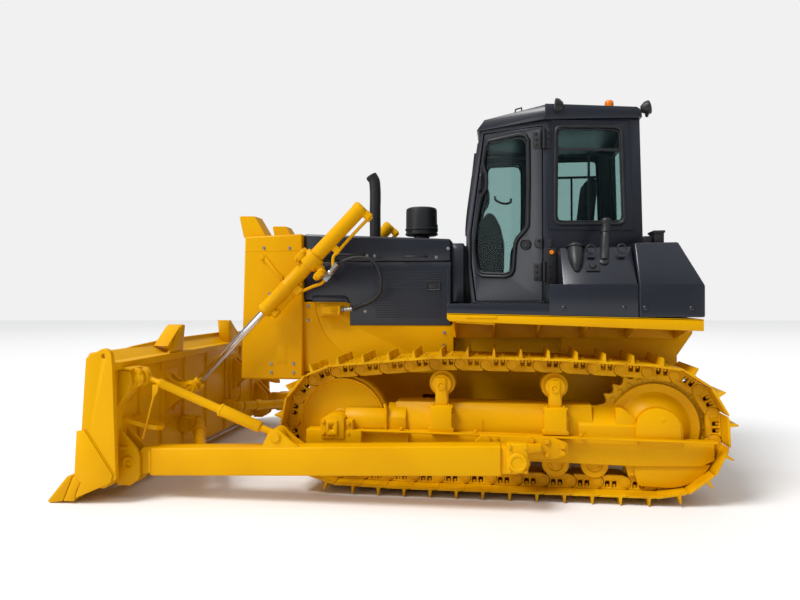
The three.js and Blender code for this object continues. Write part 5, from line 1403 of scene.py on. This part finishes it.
# Stripe along the edge, top sheet, and the ribbed panels that hang under them.
def fender():
    front, rear, outer = deck["front"], deck["rear"], deck["outer"]
    stripe = plate("stripe", [(rear, fenderFoot(rear)), (front - 0.02, fenderFoot(front)),
        (front, fenderFoot(front) + 0.018), (front, fenderTop(front)), (rear, fenderTop(rear))], "y",
        outer - 0.03, outer, 0.004)
    sheetTop = plate("sheetTop", [(rear, fenderTop(rear) - 0.012), (front, fenderTop(front) - 0.012),
        (front, fenderTop(front)), (rear, fenderTop(rear))], "y", 0.6, outer, 0.003)
    pieces = [stripe, sheetTop]
    for x in (front - 0.04, 1.21, 0.86, 0.5, 0.145, -0.24):
        top, foot = fenderTop(x) - 0.012, fenderFoot(x)
        pieces.append(plate("support", [(0.6, 1.205), (0.66, 1.205), (1.14, foot + 0.012),
            (1.165, foot + 0.012), (1.165, top), (0.6, top)], "x", x - 0.006, x + 0.006, 0.002))
    pieces.append(plate("apron", [(rear, 1.203), (front - 0.01, 1.203),
        (front - 0.01, fenderTop(front) - 0.008), (rear, fenderTop(rear) - 0.008)], "y", 0.604, 0.616,
        0.003))
    grip = pipe("grip", [spot(1.412, outer - 0.004, 1.402), spot(1.412, outer - 0.001, 1.394),
        spot(1.193, outer - 0.001, 1.39), spot(1.193, outer - 0.004, 1.399)], 0.01, smooth=False)
    shelf = plate("shelf", [(1.2, fenderFoot(1.2) - 0.016), (front - 0.06, fenderFoot(front) - 0.014),
        (front - 0.06, fenderFoot(front)), (1.2, fenderFoot(1.2))], "y", 0.7, outer - 0.035, 0.003)
    studs = bolts("studs", [(x, 1.1, fenderFoot(x) + 0.012) for x in (0.875, 0.515, 0.16)], (0, 0, -1),
        0.012)
    return joined("fender", pieces + [grip, shelf, studs])


def deckFloor():
    top = plate("top", [(0.155, fenderTop(0.155) + 0.002), (1.565, fenderTop(1.565) + 0.002), (1.565, 1.488),
        (1.558, deck["floor"]), (0.155, deck["floor"])], "y", -deck["outer"], deck["outer"], 0.004)
    treads = []
    model = block("tread", (-0.009, -0.004, 0.0), (0.009, 0.004, 0.004), 0.001, 1)
    for i in range(9):
        for j in range(6):
            for side in (-1, 1):
                treads.append(copyOf(model, "tread", Matrix.Translation((0.86 + 0.075 * i,
                    side * (0.8 + 0.066 * j), deck["floor"] - 0.001))))
    bpy.data.objects.remove(model)
    return joined("deckFloor", [top] + treads)


def fuelTank():
    outer, high, low = deck["outer"], deck["tankTop"], deck["topRear"] + 0.014
    section = [(-outer, low), (outer, low), (outer, 1.634), (1.02, high), (-1.02, high), (-outer, 1.634)]
    body = plate("body", section, "x", deck["tankRear"], deck["tankFront"], 0.0)
    slope = plate("slope", [(-0.17, high), (deck["tankRear"], 1.62), (-0.6, 1.62), (-0.6, 2.2),
        (-0.17, 2.2)], "y", -1.4, 1.4, 0.0)
    bay = block("bay", (-0.015, -0.72, 1.0), (0.3, 0.72, 2.1), 0.0)
    carve(body, slope, bay)
    softenEdges(body, 0.012, 3)
    rearSeam = block("rearSeam", (deck["tankRear"], -0.6, 1.46), (deck["tankRear"] + 0.004, 0.6, 1.464),
        0.001)
    return joined("fuelTank", [body, rearSeam])


def tankFittings():
    high = deck["tankTop"]
    lugs = [block("lug", (-0.012, 0.76, high - 0.004), (0.06, 0.9, high + 0.06), 0.01),
        block("lug", (-0.094, 0.74, high - 0.004), (-0.018, 0.92, high + 0.092), 0.012),
        block("lid", (-0.1, 0.732, high + 0.08), (-0.01, 0.928, high + 0.1), 0.006)]
    cap = turned("cap", [(0, 0), (0.058, 0), (0.058, 0.03), (0.066, 0.034), (0.066, 0.06), (0.058, 0.068),
        (0, 0.068)], spot(-0.07, -0.86, high - 0.004), (0, 0, 1), 28)
    step = [roller("stud", 0.018, spot(-0.245, side * 0.9, 1.775), spot(-0.262, side * 0.9, 1.782), 16)
        for side in (-1, 1)]
    return joined("tankFittings", [cap] + lugs + step)


def rearLamp():
    return turned("body", [(0, -0.03), (0.05, -0.02), (0.066, 0.0), (0.068, 0.02), (0.06, 0.02),
        (0.056, 0.008), (0, 0.004)], spot(-0.262, 0.7, 1.8), (-0.92, 0, 0.39), 26)


def console():
    inner, outer, shoulder = deck["consoleIn"], deck["outer"], deck["shoulder"]
    low = plate("low", [(inner, 1.497), (outer - 0.01, 1.497), (outer - 0.01, 1.404), (outer + 0.003, 1.404),
        (outer + 0.003, shoulder), (inner, shoulder)], "x", deck["tankFront"] + 0.006, deck["boxFront"],
        0.007)
    high = plate("high", [(inner, 1.6), (outer - 0.006, shoulder - 0.006), (0.955, deck["consoleTop"]),
        (inner, deck["consoleTop"])], "x", deck["tankFront"] + 0.008, deck["consoleFront"], 0.01)
    seal = block("seal", (deck["tankFront"] - 0.002, 0.74, 1.45), (deck["tankFront"] + 0.01, 1.18, 1.64),
        0.002)
    return joined("console", [low, high, seal])


# Round-headed bolts along the lower panels.
def panelBolts():
    pieces = []
    for x, z in ((0.689, 1.462), (0.255, 1.46), (0.107, 1.46), (-0.216, 1.456)):
        pieces.append(turned("head", [(0, 0.011), (0.01, 0.01), (0.018, 0.005), (0.021, -0.001),
            (0, -0.001)], spot(x, deck["outer"], z), (0, 1, 0), 18, smooth=60))
    return joined("panelBolts", pieces)


def onSlope(x, share, out=0.0):
    y = deck["outer"] + (0.955 - deck["outer"]) * share
    z = deck["shoulder"] + (deck["consoleTop"] - deck["shoulder"]) * share
    return spot(x, y + out * 0.77, z + out * 0.638)


slopeOut = Vector((0, 0.77, 0.638))


def consoleTrim():
    hopper = turned("hopper", [(0, 0), (0.06, 0), (0.06, 0.1), (0.044, 0.18), (0.02, 0.236), (0, 0.25)],
        onSlope(0.58, 0.985, 0.004), onSlope(0.588, 0.2) - onSlope(0.58, 0.985), 28)
    rim = turned("rim", [(0, 0), (0.072, 0), (0.074, 0.006), (0.072, 0.012), (0, 0.012)],
        onSlope(0.58, 0.985, 0.006), (0, -0.2, 1), 28)
    eyes = []
    for x in (0.47, 0.242):
        ring = [onSlope(x, 0.84, 0.045) + Vector((0.032 * math.cos(t), 0, 0.032 * math.sin(t)))
            for t in [math.tau * i / 14 for i in range(15)]]
        eyes.append(pipe("eye", ring, 0.006, sides=2, steps=3))
        eyes.append(blockAt("eyeFoot", onSlope(x, 0.72, 0.01), 0.03))
    knob = turned("knob", [(0, 0.022), (0.02, 0.02), (0.026, 0.012), (0.026, 0.004), (0.036, 0.002),
        (0.038, -0.004), (0, -0.004)], onSlope(0.467, 0.46, 0.004), slopeOut, 24)
    bracket = blockAt("bracket", onSlope(0.467, 0.4, 0.0), 0.05)
    return joined("consoleTrim", [hopper, rim, knob, bracket] + eyes)


# A small tilted pad lying on the console's slope.
def blockAt(name, middle, half):
    along, across = Vector((1, 0, 0)), Vector((0, -0.638, 0.77))
    places = [middle + along * a * half + across * b * half * 0.5
        for a, b in ((-1, -1), (1, -1), (1, 1), (-1, 1))]
    return slab(name, places, slopeOut * 0.008, 0.002, 1)


def intakePipe():
    tube = pipe("tube", [spot(0.374, 1.04, 1.82), spot(0.368, 1.01, 1.862), spot(0.352, 0.93, 1.96),
        spot(0.336, 0.87, 2.06), spot(0.33, 0.855, 2.12)], 0.033, sides=5, steps=8)
    hat = turned("hat", [(0, 0), (0.035, 0), (0.041, 0.008), (0.041, 0.04), (0.034, 0.05), (0, 0.05)],
        spot(0.33, 0.853, 2.112), (0, -0.12, 1), 24)
    clamp = turned("clamp", [(0.032, 0), (0.038, 0), (0.038, 0.016), (0.032, 0.016)],
        spot(0.338, 0.876, 2.048), (-0.06, -0.25, 0.97), 24)
    foot = turned("foot", [(0, -0.01), (0.036, -0.01), (0.036, 0.012), (0.028, 0.018), (0, 0.018)],
        spot(0.376, 1.046, 1.812), slopeOut, 24)
    return joined("intakePipe", [tube, hat, clamp, foot])


dressPairs("machine_yellow", "machine", (fender, "fender_sheet", "fender"))
dress(deckFloor(), "slate_paint", "machine", "platform").name = "deck_floor"
dress(fuelTank(), "slate_paint", "machine", "fuel_tank").name = "tank_body"
dress(tankFittings(), "black_plastic", "machine").name = "tank_fittings"
dressPairs("black_plastic", "machine", (rearLamp, "tank_lamp"))
dressPairs("slate_paint", "machine", (console, "console_box", "console"), (panelBolts, "panel_bolts"))
dressPairs("black_plastic", "machine", (consoleTrim, "console_trim"), (intakePipe, "intake_pipe"))


# Cover of the steering case's rear face, bolted round its edge, with a filler cap above the drawbar.
def rearCover():
    at = deck["coverX"]
    cover = plate("cover", [(-0.42, 0.76), (0.42, 0.76), (0.47, 0.81), (0.47, 1.08), (0.42, 1.13),
        (-0.42, 1.13), (-0.47, 1.08), (-0.47, 0.81)], "x", at - 0.014, at + 0.004, 0.004)
    places = [(at - 0.014, y, z) for y in (-0.4, -0.24, -0.08, 0.08, 0.24, 0.4) for z in (0.785, 1.105)]
    places += [(at - 0.014, y, z) for y in (-0.445, 0.445) for z in (0.87, 1.02)]
    filler = roller("filler", 0.042, spot(at - 0.004, 0.18, 0.945), spot(at - 0.04, 0.18, 0.945), 6)
    return joined("rearCover", [cover, filler, bolts("coverBolts", places, (-1, 0, 0), 0.012)])


dress(rearCover(), "machine_yellow", "machine").name = "rear_cover"
print("deck, tank and consoles done")

# Cab: its faces are given by where they stand over x.
cab = {
    "pillarX": 0.78, "pillarY": 0.7, "rearY": 0.62, "doorSlope": 0.3955, "wall": 0.05, "doorRear": 0.81,
    "doorLow": 1.51, "doorHigh": 2.955, "gasket": 0.015, "glassIn": 0.018, "glass": 0.006,
    "doorWindow": [(1.25, 2.89), (1.0, 2.912), (0.945, 2.9), (0.92, 2.85), (0.918, 2.5), (0.926, 2.138),
        (0.95, 2.1), (1.012, 2.034), (1.03, 1.99), (1.046, 1.77), (1.066, 1.735), (1.115, 1.718),
        (1.305, 1.728), (1.345, 1.752), (1.364, 1.81), (1.378, 1.92), (1.382, 2.02), (1.36, 2.19),
        (1.334, 2.36), (1.318, 2.42), (1.28, 2.475), (1.268, 2.52), (1.27, 2.6), (1.296, 2.68),
        (1.298, 2.73), (1.276, 2.85)],
    "sideWindow": [(0.2, 2.14), (0.66, 2.144), (0.698, 2.156), (0.71, 2.194), (0.702, 2.89), (0.69, 2.934),
        (0.65, 2.948), (0.22, 2.936), (0.182, 2.922), (0.17, 2.884), (0.148, 2.19), (0.162, 2.152)],
}


def doorY(x):
    return cab["pillarY"] - (x - cab["pillarX"]) * cab["doorSlope"]


def sideY(x):
    return cab["rearY"] + (cab["pillarY"] - cab["rearY"]) * x / cab["pillarX"]


# A sheet on one of the cab's upright faces, between two depths out from it.
def facePlate(name, outline, faceY, outer, inner, edge=0.003, segments=2):
    places = [spot(x, faceY(x) + outer, z) for x, z in outline]
    return slab(name, places, (0, inner - outer, 0), edge, segments)


def faceLoop(name, outline, faceY, out, radius):
    places = [spot(x, faceY(x) + out, z) for x, z in outline + outline[:2]]
    return pipe(name, places, radius, smooth=False, sides=4)


def middleOf(outline, share):
    cx = sum(x for x, z in outline) / len(outline)
    cz = sum(z for x, z in outline) / len(outline)
    return [(cx + (x - cx) * share, cz + (z - cz) * share) for x, z in outline]


def doorFront(z):
    if z < 1.83:
        return 1.41 + 0.04 * (z - 1.496) / 0.334 - 0.047
    return 1.45 - 0.125 * max(0, (z - 2.1) / 0.9) - 0.047


def doorLeaf():
    low, high = cab["doorLow"], cab["doorHigh"]
    outline = [(cab["doorRear"], low), (doorFront(low), low), (doorFront(1.83), 1.83), (doorFront(2.1), 2.1),
        (doorFront(high), high), (cab["doorRear"], high)]
    leaf = facePlate("leaf", outline, doorY, 0.0, -cab["wall"], 0.0)
    window = facePlate("window", cab["doorWindow"], doorY, 0.1, -0.2, 0.0)
    carve(leaf, window)
    softenEdges(leaf, 0.005)
    return leaf


def doorSeal():
    outer = faceLoop("outer", cab["doorWindow"], doorY, 0.004, cab["gasket"])
    inner = faceLoop("inner", middleOf(cab["doorWindow"], 0.955), doorY, -0.01, 0.01)
    return joined("doorSeal", [outer, inner])


def doorPane():
    return facePlate("pane", middleOf(cab["doorWindow"], 1.01), doorY, -cab["glassIn"],
        -cab["glassIn"] - cab["glass"], 0.0)


# What swings with the door: hinge leaves, latch plate and grab handle.
def doorFurniture():
    pieces = []
    for z in (2.85, 1.752):
        pieces.append(facePlate("hingeLeaf", [(0.822, z - 0.078), (0.88, z - 0.072), (0.88, z + 0.072),
            (0.822, z + 0.078)], doorY, 0.012, -0.004))
        pieces.append(bolts("hingeBolts", [(0.86, doorY(0.86) + 0.012, z + dz)
            for dz in (-0.048, 0.0, 0.048)], (0.37, 0.93, 0), 0.01))
    latchSpot = spot(0.945, doorY(0.945), 1.985)
    pieces.append(turned("latch", [(0, 0.006), (0.01, 0.012), (0.022, 0.012), (0.026, 0.006), (0.034, 0.006),
        (0.04, 0.014), (0.046, 0.01), (0.046, -0.002), (0, -0.002)], latchSpot, (0.37, 0.93, 0), 28))
    pieces.append(facePlate("latchGuard", [(0.814, 1.944), (0.862, 1.952), (0.878, 1.985), (0.864, 2.032),
        (0.814, 2.04)], doorY, 0.026, -0.002, 0.006))
    pieces.append(roller("latchPin", 0.012, spot(0.842, doorY(0.842) + 0.02, 2.01),
        spot(0.842, doorY(0.842) + 0.04, 2.01), 16))
    grab = [spot(x, doorY(x) + out, z) for x, out, z in ((1.314, 0.0, 2.612), (1.318, 0.034, 2.6),
        (1.322, 0.038, 2.53), (1.327, 0.034, 2.474), (1.328, 0.0, 2.462))]
    pieces.append(pipe("grab", grab, 0.013, sides=4))
    return joined("doorFurniture", pieces)


def hingePosts():
    pieces = []
    for z in (2.85, 1.752):
        pieces.append(facePlate("postLeaf", [(0.742, z - 0.08), (0.775, z - 0.08), (0.775, z + 0.08),
            (0.742, z + 0.08)], sideY, 0.012, -0.004))
        pieces.append(roller("barrel", 0.014, spot(0.796, 0.71, z - 0.085), spot(0.796, 0.71, z + 0.085),
            18))
        pieces.append(bolts("postBolts", [(0.756, sideY(0.756) + 0.012, z + dz)
            for dz in (-0.048, 0.0, 0.048)], (0, 1, 0), 0.01))
    pieces.append(block("striker", (0.732, 0.694, 1.955), (0.764, 0.716, 2.02), 0.005))
    return joined("hingePosts", pieces)


def windowSeal():
    outer = faceLoop("outer", cab["sideWindow"], sideY, 0.004, cab["gasket"])
    inner = faceLoop("inner", middleOf(cab["sideWindow"], 0.945), sideY, -0.01, 0.009)
    bar = facePlate("bar", [(0.165, 2.738), (0.702, 2.752), (0.702, 2.774), (0.165, 2.76)], sideY, -0.002,
        -0.034)
    sash = facePlate("sash", [(0.42, 2.165), (0.44, 2.165), (0.44, 2.745), (0.42, 2.745)], sideY, -0.028,
        -0.044)
    return joined("windowSeal", [outer, inner, bar, sash])


def windowFrame():
    edge = [(0.079, 2.085), (0.763, 2.099), (0.741, 3.004), (0.111, 2.984)]
    surround = facePlate("frame", edge, sideY, 0.007, -0.004, 0.0)
    hollow = facePlate("hollow", [(0.154, 2.148), (0.704, 2.152), (0.696, 2.94), (0.178, 2.93)], sideY, 0.05,
        -0.05, 0.0)
    carve(surround, hollow)
    softenEdges(surround, 0.003, 1)
    return surround


# Seals round the windshield and the rear glass.
def endSeals():
    front = [spot(1.4458, -0.35, 2.15), spot(1.4458, 0.35, 2.15), spot(1.3375, 0.35, 2.905),
        spot(1.3375, -0.35, 2.905)]
    back = [spot(0.0155, -0.48, 2.15), spot(0.0155, 0.48, 2.15), spot(0.0815, 0.48, 2.905),
        spot(0.0815, -0.48, 2.905)]
    seals = [pipe("seal", corners + corners[:2], 0.014, smooth=False, sides=4) for corners in (front, back)]
    wiper = pipe("wiper", [spot(1.47, 0.02, 2.12), spot(1.468, 0.05, 2.2), spot(1.402, 0.22, 2.64)], 0.008)
    wiperEdge = pipe("wiperEdge", [spot(1.432, 0.14, 2.4), spot(1.372, 0.28, 2.84)], 0.01)
    return joined("endSeals", seals + [wiper, wiperEdge])


def cabRoof():
    profile = [(0.01, 3.003), (0.012, 3.04), (0.024, 3.072), (0.052, 3.09), (0.79, 3.13), (1.285, 3.07),
        (1.352, 2.99), (1.346, 2.98), (0.8, 3.003)]
    roof = plate("roof", profile, "y", -0.76, 0.76, 0.0)
    side = [plate("side", [(-0.3, turn * 0.618), (0.78, turn * 0.729), (1.6, turn * 0.405),
        (1.6, turn * 1.1), (-0.3, turn * 1.1)], "z", 2.9, 3.3, 0.0) for turn in (-1, 1)]
    carve(roof, *side)
    for turn in (-1, 1):
        visor = plate("visor", [(turn * 0.75, 3.01), (turn * 0.684, 3.16), (turn * 0.684, 3.3),
            (turn * 0.9, 3.3), (turn * 0.9, 3.012)], "x", 0.79, 1.6, 0.0)
        tilted(visor, turn * math.atan(cab["doorSlope"]), "Z", spot(0.79, turn * 0.726, 3.05))
        carve(roof, visor)
    softenEdges(roof, 0.008, 2)
    handle = pipe("handle", [spot(1.026, 0.56, 3.095), spot(1.022, 0.56, 3.138), spot(0.972, 0.56, 3.15),
        spot(0.968, 0.56, 3.105)], 0.008, smooth=False)
    rib = block("rib", (0.15, -0.45, 3.118), (0.75, 0.45, 3.138), 0.012)
    return joined("cabRoof", [roof, handle, rib])


def roofLamp(x, y, z, radius, direction, name):
    bowl = turned("bowl", [(0, -0.052), (radius * 0.55, -0.046), (radius * 0.94, -0.012), (radius, 0.01),
        (radius * 0.98, 0.02), (radius * 0.86, 0.022), (radius * 0.8, 0.012), (0, 0.01)], spot(x, y, z),
        direction, 32)
    stem = pipe("stem", [spot(x, y, z - radius * 0.6), spot(x, y, z - radius - 0.012),
        spot(x + 0.006, y - 0.02, 3.04)], 0.01)
    return joined(name, [bowl, stem])


def roofLens(x, y, z, radius, direction, name):
    return turned(name, [(0, 0.024), (radius * 0.5, 0.021), (radius * 0.84, 0.014), (radius * 0.84, 0.01),
        (0, 0.012)], spot(x, y, z), direction, 32)


def beacon():
    return turned("base", [(0, 0), (0.046, 0), (0.046, 0.01), (0.036, 0.014), (0, 0.014)],
        spot(0.245, 0.5, 3.12), (0, 0, 1), 28)


def beaconCap():
    return turned("beaconCap", [(0, 0.0), (0.036, 0.0), (0.037, 0.03), (0.034, 0.052), (0.024, 0.061),
        (0, 0.063)], spot(0.245, 0.5, 3.132), (0, 0, 1), 32, smooth=60)


dress(softened("cab_frame", "cab_body", 0.006, 2, merge=False), "slate_paint", "machine", "cab_frame")
# Painted shade: a black sheet on the wall between the console and the door, and a black strip behind the
# door's rear edge, stand for the shadow in these slots.
slotShade = plate("slotShade", [(0.7, 1.5), (0.8, 1.5), (0.8, 1.95), (0.7, 1.95)], "y", 0.69, 0.712, 0.003)
seamShade = block("seamShade", (0.768, 0.6, 1.515), (0.826, 0.632, 2.95), 0.002)
bulkhead = block("bulkhead", (1.395, -0.4, 1.5), (1.478, 0.4, 2.0), 0.004)
dressPair(joined("slotShade", [slotShade, seamShade]), "shade_sheet", "black_plastic", "machine")
dress(bulkhead, "black_plastic", "machine").name = "cab_bulkhead"
dress(cabRoof(), "slate_paint", "machine", "cab_roof").name = "roof_shell"
dress(endSeals(), "black_plastic", "machine").name = "end_seals"
dressPairs("slate_paint", "machine", (windowFrame, "window_frame"))
dressPairs("black_plastic", "machine", (windowSeal, "window_seal"), (hingePosts, "hinge_posts"))


dressPairs("slate_paint", "{}_cab_door", (doorLeaf, "door_leaf", "cab_door"))
dressPairs("cab_glass", "{}_cab_door", (doorPane, "door_pane", "door_glass"))
dressPairs("black_plastic", "{}_cab_door", (doorSeal, "door_seal"), (doorFurniture, "door_furniture"))
lampPlaces = {"front_lamp": (0.69, 0.7, 3.108, 0.066, (1, 0, 0.12)),
    "rear_lamp": (-0.04, 0.6, 3.092, 0.056, (-1, 0, 0.25))}
for lampName, place in lampPlaces.items():
    dressPair(roofLamp(*place, lampName), lampName, "black_plastic", "machine")
    dressPair(roofLens(*place, lampName), f"{lampName}_lens", "lamp_glass", "machine")
dress(beacon(), "black_plastic", "machine").name = "beacon_base"
dress(beaconCap(), "beacon_amber", "machine").name = "beacon_cap"
marker = roller("marker", 0.018, spot(0.738, 0.694, 1.91), spot(0.738, 0.724, 1.91), 20)
dressPair(marker, "side_marker", "beacon_amber", "machine")
print("cab done")

# Inside the cab: padded seat, armrests, steering console, levers and the far handle.
seat = {
    "half": 0.235, "rear": 0.36, "front": 0.815, "low": 1.905, "high": 2.012, "backLow": 2.05,
    "backHigh": 2.62, "voxel": 0.006, "pressure": 4.0, "cap": 0.024,
}


def puffUp(piece, name):
    rest = [vertex.co.copy() for vertex in piece.data.vertices]
    choose(piece)
    bpy.ops.object.modifier_add(type="REMESH")
    remesh = piece.modifiers[-1]
    remesh.mode = "VOXEL"
    remesh.voxel_size = seat["voxel"]
    bpy.ops.object.modifier_apply(modifier=remesh.name)
    rest = [vertex.co.copy() for vertex in piece.data.vertices]
    bpy.ops.object.modifier_add(type="CLOTH")
    cloth = piece.modifiers[-1]
    cloth.settings.use_pressure = True
    cloth.settings.uniform_pressure_force = seat["pressure"]
    cloth.settings.effector_weights.gravity = 0
    scene = bpy.context.scene
    for step in range(1, 21):
        scene.frame_set(step)
    bpy.ops.object.modifier_apply(modifier=cloth.name)
    scene.frame_set(1)
    for vertex, home in zip(piece.data.vertices, rest):
        move = vertex.co - home
        if move.length > seat["cap"]:
            vertex.co = home + move.normalized() * seat["cap"]
    choose(piece)
    bpy.ops.object.modifier_add(type="SUBSURF")
    rounder = piece.modifiers[-1]
    rounder.levels = rounder.render_levels = 1
    bpy.ops.object.modifier_apply(modifier=rounder.name)
    return settle(piece, name, smooth=70)


def seatCushion():
    base = block("base", (seat["rear"], -seat["half"], seat["low"] + 0.02),
        (seat["front"], seat["half"], seat["high"] - 0.02), 0.03, 3)
    return puffUp(base, "cushion")


def seatBack():
    back = plate("back", [(0.365, seat["backLow"]), (0.44, seat["backLow"]),
        (0.375, seat["backHigh"] - 0.03), (0.35, seat["backHigh"]), (0.31, seat["backHigh"] - 0.01)], "y",
        -seat["half"] + 0.01, seat["half"] - 0.01, 0.028, 3)
    return puffUp(back, "backrest")


def cabFittings():
    stand = plate("stand", [(0.38, 1.55), (0.74, 1.55), (0.72, 1.9), (0.38, 1.9)], "y", -0.19, 0.19, 0.02,
        3)
    rests = []
    for side in (-1, 1):
        armrest = plate("rest", [(0.4, 1.7), (0.86, 1.7), (0.88, 2.06), (0.84, 2.11), (0.43, 2.11)], "y",
            side * 0.3 - 0.045, side * 0.3 + 0.045, 0.018, 3)
        lever = pipe("lever", [spot(0.8, side * 0.3, 2.1), spot(0.812, side * 0.3, 2.19)], 0.009)
        knob = turned("knob", [(0, -0.028), (0.018, -0.022), (0.024, 0), (0.018, 0.022), (0, 0.028)],
            spot(0.814, side * 0.3, 2.215), (0, 0, 1), 18, smooth=60)
        rests += [armrest, lever, knob]
    dashOutline = [(1.375, 1.62), (1.14, 1.62), (1.12, 1.8), (1.115, 2.02), (1.15, 2.18), (1.205, 2.292),
        (1.262, 2.318), (1.33, 2.24), (1.38, 2.1), (1.392, 1.98)]
    dash = plate("dash", dashOutline, "y", -0.24, 0.24, 0.03, 4)
    ring = turned("ring", [(0.04, 0.0), (0.046, 0.004), (0.052, 0.0), (0.052, -0.006), (0.04, -0.006)],
        spot(1.245, 0.242, 2.01), (0, 1, 0), 28)
    pedals = [block("pedal", (1.05, side * 0.12 - 0.04, 1.64), (1.07, side * 0.12 + 0.04, 1.73), 0.006)
        for side in (-1, 1)]
    grab = pipe("grab", [spot(1.2, -0.5, 2.56), spot(1.19, -0.47, 2.52), spot(1.05, -0.525, 2.5),
        spot(1.04, -0.555, 2.54)], 0.012)
    return joined("cabFittings", [stand, dash, ring, grab] + rests + pedals)


cushion, backrest = seatCushion(), seatBack()
for piece, name, node in ((cushion, "seat_pad", "seat_cushion"), (backrest, "back_pad", "seat_back")):
    dress(piece, "seat_cloth", "machine", node).name = name
fittings = cabFittings()
dress(fittings, "black_plastic", "machine", "seat_base", "dashboard").name = "cab_fittings"
print("cab inside done")

# Floor, light and camera.
studio = {
    "floorColor": (0.86, 0.86, 0.86, 1), "skyColor": (0.97, 0.98, 1.0, 1), "skyStrength": 0.3,
    "paleColor": (0.88, 0.88, 0.88, 1), "sun": (3.6, 3.2, 6.5), "camera": (-0.8378, 6.1864, 1.558),
    "lens": 29.29, "floorSize": 70, "floorDrop": 0.002, "floorRough": 0.9, "sunPower": 2.5, "sunSpread": 22,
    "ceiling": ((0, 0, 14), (0, 0, 0), (40, 40), 2200),
    "doorSide": ((7.5, 7.0, 3.2), (0, 0, 1.6), (4, 4), 150),
    "right": (-0.98900909, -0.14775457, -0.00544202), "up": (-0.00449847, -0.00671934, 0.99996731),
}


def makeFloor():
    clearSelection()
    bpy.ops.mesh.primitive_plane_add(size=studio["floorSize"], location=(0, 0, -studio["floorDrop"]))
    floor = settle(bpy.context.object, "floor")
    material, nodes = newMaterial("paleFloor")[:2]
    shader = nodes["Principled BSDF"]
    shader.inputs["Base Color"].default_value = studio["floorColor"]
    shader.inputs["Roughness"].default_value = studio["floorRough"]
    floor.data.materials.append(material)


def newLight(name, kind):
    lamp = bpy.data.lights.new(name, kind)
    stand = bpy.data.objects.new(name, lamp)
    bpy.context.scene.collection.objects.link(stand)
    return lamp, stand


def softLight(name, place, target, size, power):
    lamp, stand = newLight(name, "AREA")
    lamp.shape = "RECTANGLE"
    lamp.size, lamp.size_y = size
    lamp.energy = power
    stand.location = place
    stand.rotation_euler = (Vector(target) - Vector(place)).to_track_quat("-Z", "Y").to_euler()


def makeSun():
    lamp, stand = newLight("sun", "SUN")
    lamp.energy = studio["sunPower"]
    lamp.angle = math.radians(studio["sunSpread"])
    stand.rotation_euler = (-Vector(studio["sun"])).to_track_quat("-Z", "Y").to_euler()


def makeWorld():
    world = bpy.data.worlds.new("studioSky")
    world.use_nodes = True
    nodes, links = world.node_tree.nodes, world.node_tree.links
    light = nodes["Background"]
    light.inputs["Color"].default_value = studio["skyColor"]
    light.inputs["Strength"].default_value = studio["skyStrength"]
    pale = nodes.new("ShaderNodeBackground")
    pale.inputs["Color"].default_value = studio["paleColor"]
    rays = nodes.new("ShaderNodeLightPath")
    mix = nodes.new("ShaderNodeMixShader")
    links.new(rays.outputs["Is Camera Ray"], mix.inputs["Fac"])
    links.new(light.outputs["Background"], mix.inputs[1])
    links.new(pale.outputs["Background"], mix.inputs[2])
    links.new(mix.outputs["Shader"], nodes["World Output"].inputs["Surface"])
    bpy.context.scene.world = world
    bpy.context.scene.view_settings.view_transform = "Standard"


def makeCamera():
    camera = bpy.data.cameras.new("camera")
    camera.lens = studio["lens"]
    camera.sensor_width = 36
    stand = bpy.data.objects.new("camera", camera)
    bpy.context.scene.collection.objects.link(stand)
    right, up = Vector(studio["right"]), Vector(studio["up"])
    back = right.cross(up)
    stand.matrix_world = Matrix.Translation(studio["camera"]) @ Matrix((right, up,
        back)).transposed().to_4x4()
    bpy.context.scene.camera = stand


makeFloor()
makeWorld()
makeCamera()
makeSun()
softLight("ceilingPanel", *studio["ceiling"])
softLight("doorPanel", *studio["doorSide"])
